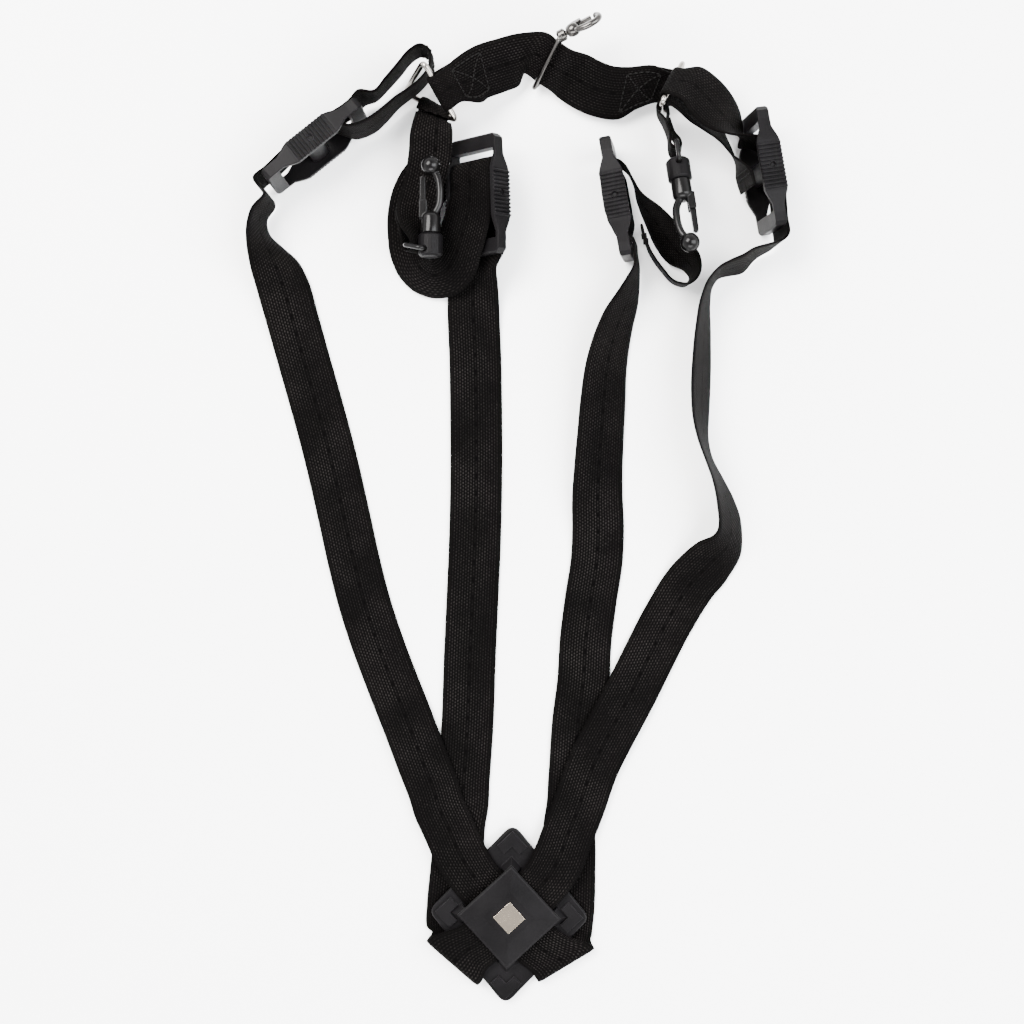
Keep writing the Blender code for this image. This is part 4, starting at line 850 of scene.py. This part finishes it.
def stitching():
    length = {name: ribbon[2][-1] for name, ribbon in RIBBONS.items()}
    sew("left_tab", "left_tab_stitching",
        box_stitch(length["left_tab"] * TAB_BOX_START,
                   length["left_tab"] * TAB_BOX_START + TAB_BOX_LENGTH), (1, -1))
    sew("cross_strap", "cross_strap_stitching",
        box_stitch(CROSS_BOX_NEAR, CROSS_BOX_FAR)
        + box_stitch(length["cross_strap"] - CROSS_BOX_FAR,
                     length["cross_strap"] - CROSS_BOX_NEAR), (1, -1))
    sew("left_front_loop", "left_front_stitching",
        box_stitch(FRONT_BOX_NEAR, FRONT_BOX_FAR), (1, -1))
    sew("right_front_loop", "right_front_stitching",
        hem(length["right_front_loop"] - FRONT_HEM), (1, -1))
    sew("left_underarm_loop", "left_loop_stitching",
        hem(length["left_underarm_loop"] - UNDERARM_HEM), (1, -1))
    sew("right_underarm_loop", "right_loop_stitching",
        hem(length["right_underarm_loop"] - UNDERARM_HEM), (1, -1))


# ---------------------------------------------------------------- fine hardware

def world_of(place):
    return Matrix.Translation((Vector(place["centre"]) + SHIFT) * MM) @ turn(place)


def tube_part(bm, points, radius, cyclic=False, sides=16):
    """A round wire through the points, in millimetres, added to a mesh."""
    points = [Vector(p) for p in points]
    total = len(points)
    rings = []
    side = None
    for i, point in enumerate(points):
        ahead = points[(i + 1) % total] if cyclic or i < total - 1 else point
        behind = points[i - 1] if cyclic or i > 0 else point
        along = (ahead - behind).normalized()
        if side is None:
            side = along.orthogonal().normalized()
        side = (side - along * side.dot(along)).normalized()
        up = along.cross(side)
        ring = []
        for k in range(sides):
            angle = 2 * math.pi * k / sides
            ring.append(bm.verts.new((point + (side * math.cos(angle) + up * math.sin(angle)) * radius) * MM))
        rings.append(ring)
    if cyclic:
        lag = min(range(sides), key=lambda k: (rings[0][k].co - rings[-1][0].co).length)
        rings.append(rings[0][lag:] + rings[0][:lag])
    for first, second in zip(rings, rings[1:]):
        for k in range(sides):
            bm.faces.new((first[k], first[(k + 1) % sides], second[(k + 1) % sides], second[k]))
    if not cyclic:
        bm.faces.new(rings[0])
        bm.faces.new(rings[-1])


def turned_part(bm, profile, steps=40, matrix=None):
    """A solid turned about x, added to a mesh; profile is (x, radius)."""
    rows = []
    for x, radius in profile:
        row = []
        for i in range(steps):
            angle = 2 * math.pi * i / steps
            place = Vector((x, radius * math.cos(angle), radius * math.sin(angle))) * MM
            row.append(bm.verts.new(matrix @ place if matrix else place))
        rows.append(row)
    for first, second in zip(rows, rows[1:]):
        for i in range(steps):
            bm.faces.new((first[i], first[(i + 1) % steps], second[(i + 1) % steps], second[i]))
    bm.faces.new(rows[0])
    bm.faces.new(rows[-1])


def box_part(bm, size, centre):
    made = bmesh.ops.create_cube(bm, size=1.0)["verts"]
    bmesh.ops.scale(bm, vec=Vector(size) * MM, verts=made)
    bmesh.ops.translate(bm, vec=Vector(centre) * MM, verts=made)
    edges = {edge for vert in made for edge in vert.link_edges}
    bmesh.ops.bevel(bm, geom=list(edges), offset=0.25 * MM, segments=2, affect="EDGES")


def smooth_curve(points, per=5):
    """More points on a Catmull-Rom curve through the points."""
    points = [Vector(p) for p in points]
    padded = [points[0] * 2 - points[1], *points, points[-1] * 2 - points[-2]]
    fine = []
    for a, b, c, d in zip(padded, padded[1:], padded[2:], padded[3:]):
        for k in range(per):
            t = k / per
            fine.append((b * 2 + (c - a) * t + (a * 2 - b * 5 + c * 4 - d) * t * t
                         + (b * 3 - a - c * 3 + d) * t ** 3) / 2)
    return fine + [points[-1]]


def hardware(name, node, build, matrix, material, body, angle=40):
    """A fine mesh that stands for a CAD node."""
    bm = bmesh.new()
    build(bm)
    bmesh.ops.recalc_face_normals(bm, faces=bm.faces)
    bmesh.ops.transform(bm, matrix=matrix, verts=bm.verts)
    mesh = bpy.data.meshes.new(name)
    bm.to_mesh(mesh)
    bm.free()
    mesh.shade_smooth()
    mesh.set_sharp_from_angle(angle=math.radians(angle))
    obj = piece(name, mesh, material, body)
    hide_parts(node)
    return obj


def fine_rings():
    shift = Matrix.Translation(SHIFT * MM)
    for name, corners in (("left_ring", LEFT_RING), ("right_ring", RIGHT_RING)):
        points = [Vector(corners[key]) for key in ("front", "low", "tab")]
        path = rounded(points, RING_BEND, 10)
        hardware(name + "_wire", name, lambda bm: tube_part(bm, path, RING_WIRE, True, 20), shift, "nickel",
                 "harness")


def fine_hooks():
    for side, place in HOOKS.items():
        frame_matrix = world_of(place)
        swing = math.radians(place["swing"])
        reach = Vector((-math.cos(swing), 0, -math.sin(swing))) * BAIL_LENGTH
        pivot = Vector((BAIL_PIVOT, 0, 0))
        wide = Vector((0, BAIL_HALF, 0))
        path = rounded([pivot + wide, pivot + reach + wide, pivot + reach - wide, pivot - wide], 2.2, 8)
        hardware(side + "_bail_wire", side + "_bail", lambda bm: tube_part(bm, path, BAIL_WIRE, True, 16),
                 frame_matrix, "gloss_plastic", "harness")
        body = frame_matrix @ Matrix.Rotation(math.radians(-place["face"]), 4, "X")
        hardware(side + "_hook_moulding", side + "_hook_body", hook_parts, body, "gloss_plastic",
                 side + "_hook")


def hook_parts(bm):
    """Swivel sleeve, curved arm, ball nose and the two lugs that hold the gate's pin."""
    start = HOOK_CAP + FIT
    radius = HOOK_SLEEVE_RADIUS
    end = HOOK_SLEEVE_END
    turned_part(bm, [(6.0, SWIVEL_PIN), (start, SWIVEL_PIN), (start, radius - 0.4), (start + 0.4, radius),
                     (end - 2.4, radius), (end - 1.6, radius - 0.3), (end - 0.8, 3.6), (end, 2.5)])
    arm = [(19.5, -0.8, 0), (22.0, -2.6, 0), (25.0, -3.9, 0), (29.0, -4.3, 0), (33.0, -4.2, 0),
           (37.0, -3.4, 0), (40.5, -1.6, 0), (43.0, -0.6, 0)]
    tube_part(bm, smooth_curve(arm), HOOK_ARM, False, 20)
    nose = []
    for i in range(25):
        angle = math.pi * (0.02 + 0.96 * i / 24)
        nose.append((HOOK_NOSE - HOOK_NOSE_RADIUS * math.cos(angle), HOOK_NOSE_RADIUS * math.sin(angle)))
    turned_part(bm, nose)
    x, y = GATE_PIVOT
    for z in (-2.2, 2.2):
        box_part(bm, (8.4, 3.6, 1.2), (x - 1.8, y - 0.1, z))


def fine_clip():
    low, high = SLIDER_ENDS
    short = 3.4
    corners = [Vector((0, high, short)), Vector((0, high, -short)),
               Vector((0, low, -short)), Vector((0, low, short))]
    path = rounded(corners, 1.6, 8)
    clip = world_of(CLIP)
    local = world_of(SLIDER).inverted() @ clip

    def loop_parts(bm):
        tube_part(bm, path, 1.1, True, 16)
        turned_part(bm, [(-2.2, 1.7), (-2.1, 2.0), (-1.4, 2.9), (1.4, 2.9), (2.1, 2.0), (2.2, 1.7)],
                    32, local)

    def clip_parts(bm):
        turned_part(bm, [(-1.8, 1.2), (2.6, 1.2), (2.75, 1.9), (3.1, 2.4), (4.4, 3.0), (5.4, 3.2), (6.4, 3.2),
                         (7.3, 3.0), (8.0, 2.6), (8.8, 1.6)], 32)
        arm = [(6.5, -0.6, 0), (8.6, -2.6, 0), (11.5, -3.9, 0), (14.5, -4.1, 0), (17.2, -3.2, 0),
               (18.9, -1.2, 0), (18.9, 1.2, 0), (17.8, 2.7, 0)]
        tube_part(bm, smooth_curve(arm), 1.5, False, 18)
        for z in (-1.9, 1.9):
            box_part(bm, (5.2, 2.8, 1.0), (8.4, 2.0, z))

    hardware("slider_wire", "slider_loop", loop_parts, world_of(SLIDER), "dark_nickel", "slider")
    hardware("clip_casting", "clip_hook", clip_parts, clip, "dark_nickel", "clip")


def cad_looks():
    """Materials for the CAD parts that stay."""
    for name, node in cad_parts.items():
        look = "plastic"
        if "hook_gate" in name:
            look = "gloss_plastic"
        if "screw" in name or "gate_pin" in name:
            look = "nickel"
        if "lever" in name:
            look = "dark_nickel"
        if name == "badge":
            look = "badge"
        node.data.materials.clear()
        node.data.materials.append(LOOKS[look])


# ---------------------------------------------------------------- room, light and camera

def add_area(name, place, size, power, colour=(1, 1, 1), target=(0, 0, 0)):
    light = bpy.data.lights.new(name, "AREA")
    light.shape = "RECTANGLE"
    light.size, light.size_y = size
    light.energy = power
    light.color = colour
    obj = bpy.data.objects.new(name, light)
    bpy.context.scene.collection.objects.link(obj)
    obj.location = place
    obj.rotation_euler = (Vector(target) - Vector(place)).to_track_quat("-Z", "Y").to_euler()


def studio():
    mesh = bpy.data.meshes.new("floor")
    bm = bmesh.new()
    bmesh.ops.create_grid(bm, x_segments=1, y_segments=1, size=FLOOR_HALF)
    bm.to_mesh(mesh)
    bm.free()
    floor = bpy.data.objects.new("floor", mesh)
    bpy.context.scene.collection.objects.link(floor)
    floor.location = (0, 0, -FLOOR_DROP)
    n = Nodes("pale_floor")
    tone = n.noise(3.0, 2.0)
    mesh.materials.append(n.finish(
        Base_Color=n.ramp(tone, (0.2, (0.91, 0.91, 0.91)), (0.8, (0.94, 0.94, 0.94))),
        Roughness=0.7))
    world = bpy.data.worlds.new("studio")
    bpy.context.scene.world = world
    world.use_nodes = True
    nodes = world.node_tree.nodes
    links = world.node_tree.links
    split = nodes.new("ShaderNodeSeparateXYZ")
    links.new(nodes.new("ShaderNodeTexCoord").outputs["Generated"], split.inputs[0])
    ramp = nodes.new("ShaderNodeValToRGB")
    ramp.color_ramp.elements[0].position = 0.45
    ramp.color_ramp.elements[0].color = (1, 1, 1, 1)
    ramp.color_ramp.elements[1].position = 0.85
    ramp.color_ramp.elements[1].color = (0.22, 0.22, 0.23, 1)
    links.new(split.outputs[2], ramp.inputs[0])
    links.new(ramp.outputs[0], nodes["Background"].inputs[0])
    nodes["Background"].inputs[1].default_value = SKY_STRENGTH
    add_area("key", (-0.7, 0.6, 1.3), (1.0, 0.8), KEY_WATTS, (1.0, 0.98, 0.96))
    add_area("fill", (0.9, 0.1, 1.1), (0.8, 1.2), FILL_WATTS, (0.96, 0.98, 1.0))
    add_area("rim", (0.1, -1.1, 0.9), (1.2, 0.5), RIM_WATTS)
    data = bpy.data.cameras.new("camera")
    data.lens = LENS
    data.clip_start = 0.01
    camera = bpy.data.objects.new("camera", data)
    bpy.context.scene.collection.objects.link(camera)
    camera.location = CAMERA_PLACE
    bpy.context.scene.camera = camera


crossing_straps()
left_shoulder_strap()
right_shoulder_strap()
left_underarm_strap()
right_underarm_strap()
left_underarm_loop()
right_underarm_loop()
left_front_loop()
right_front_loop()
cross_strap()
tabs()
weave_all()
stitching()
fine_rings()
fine_hooks()
fine_clip()
cad_looks()
studio()
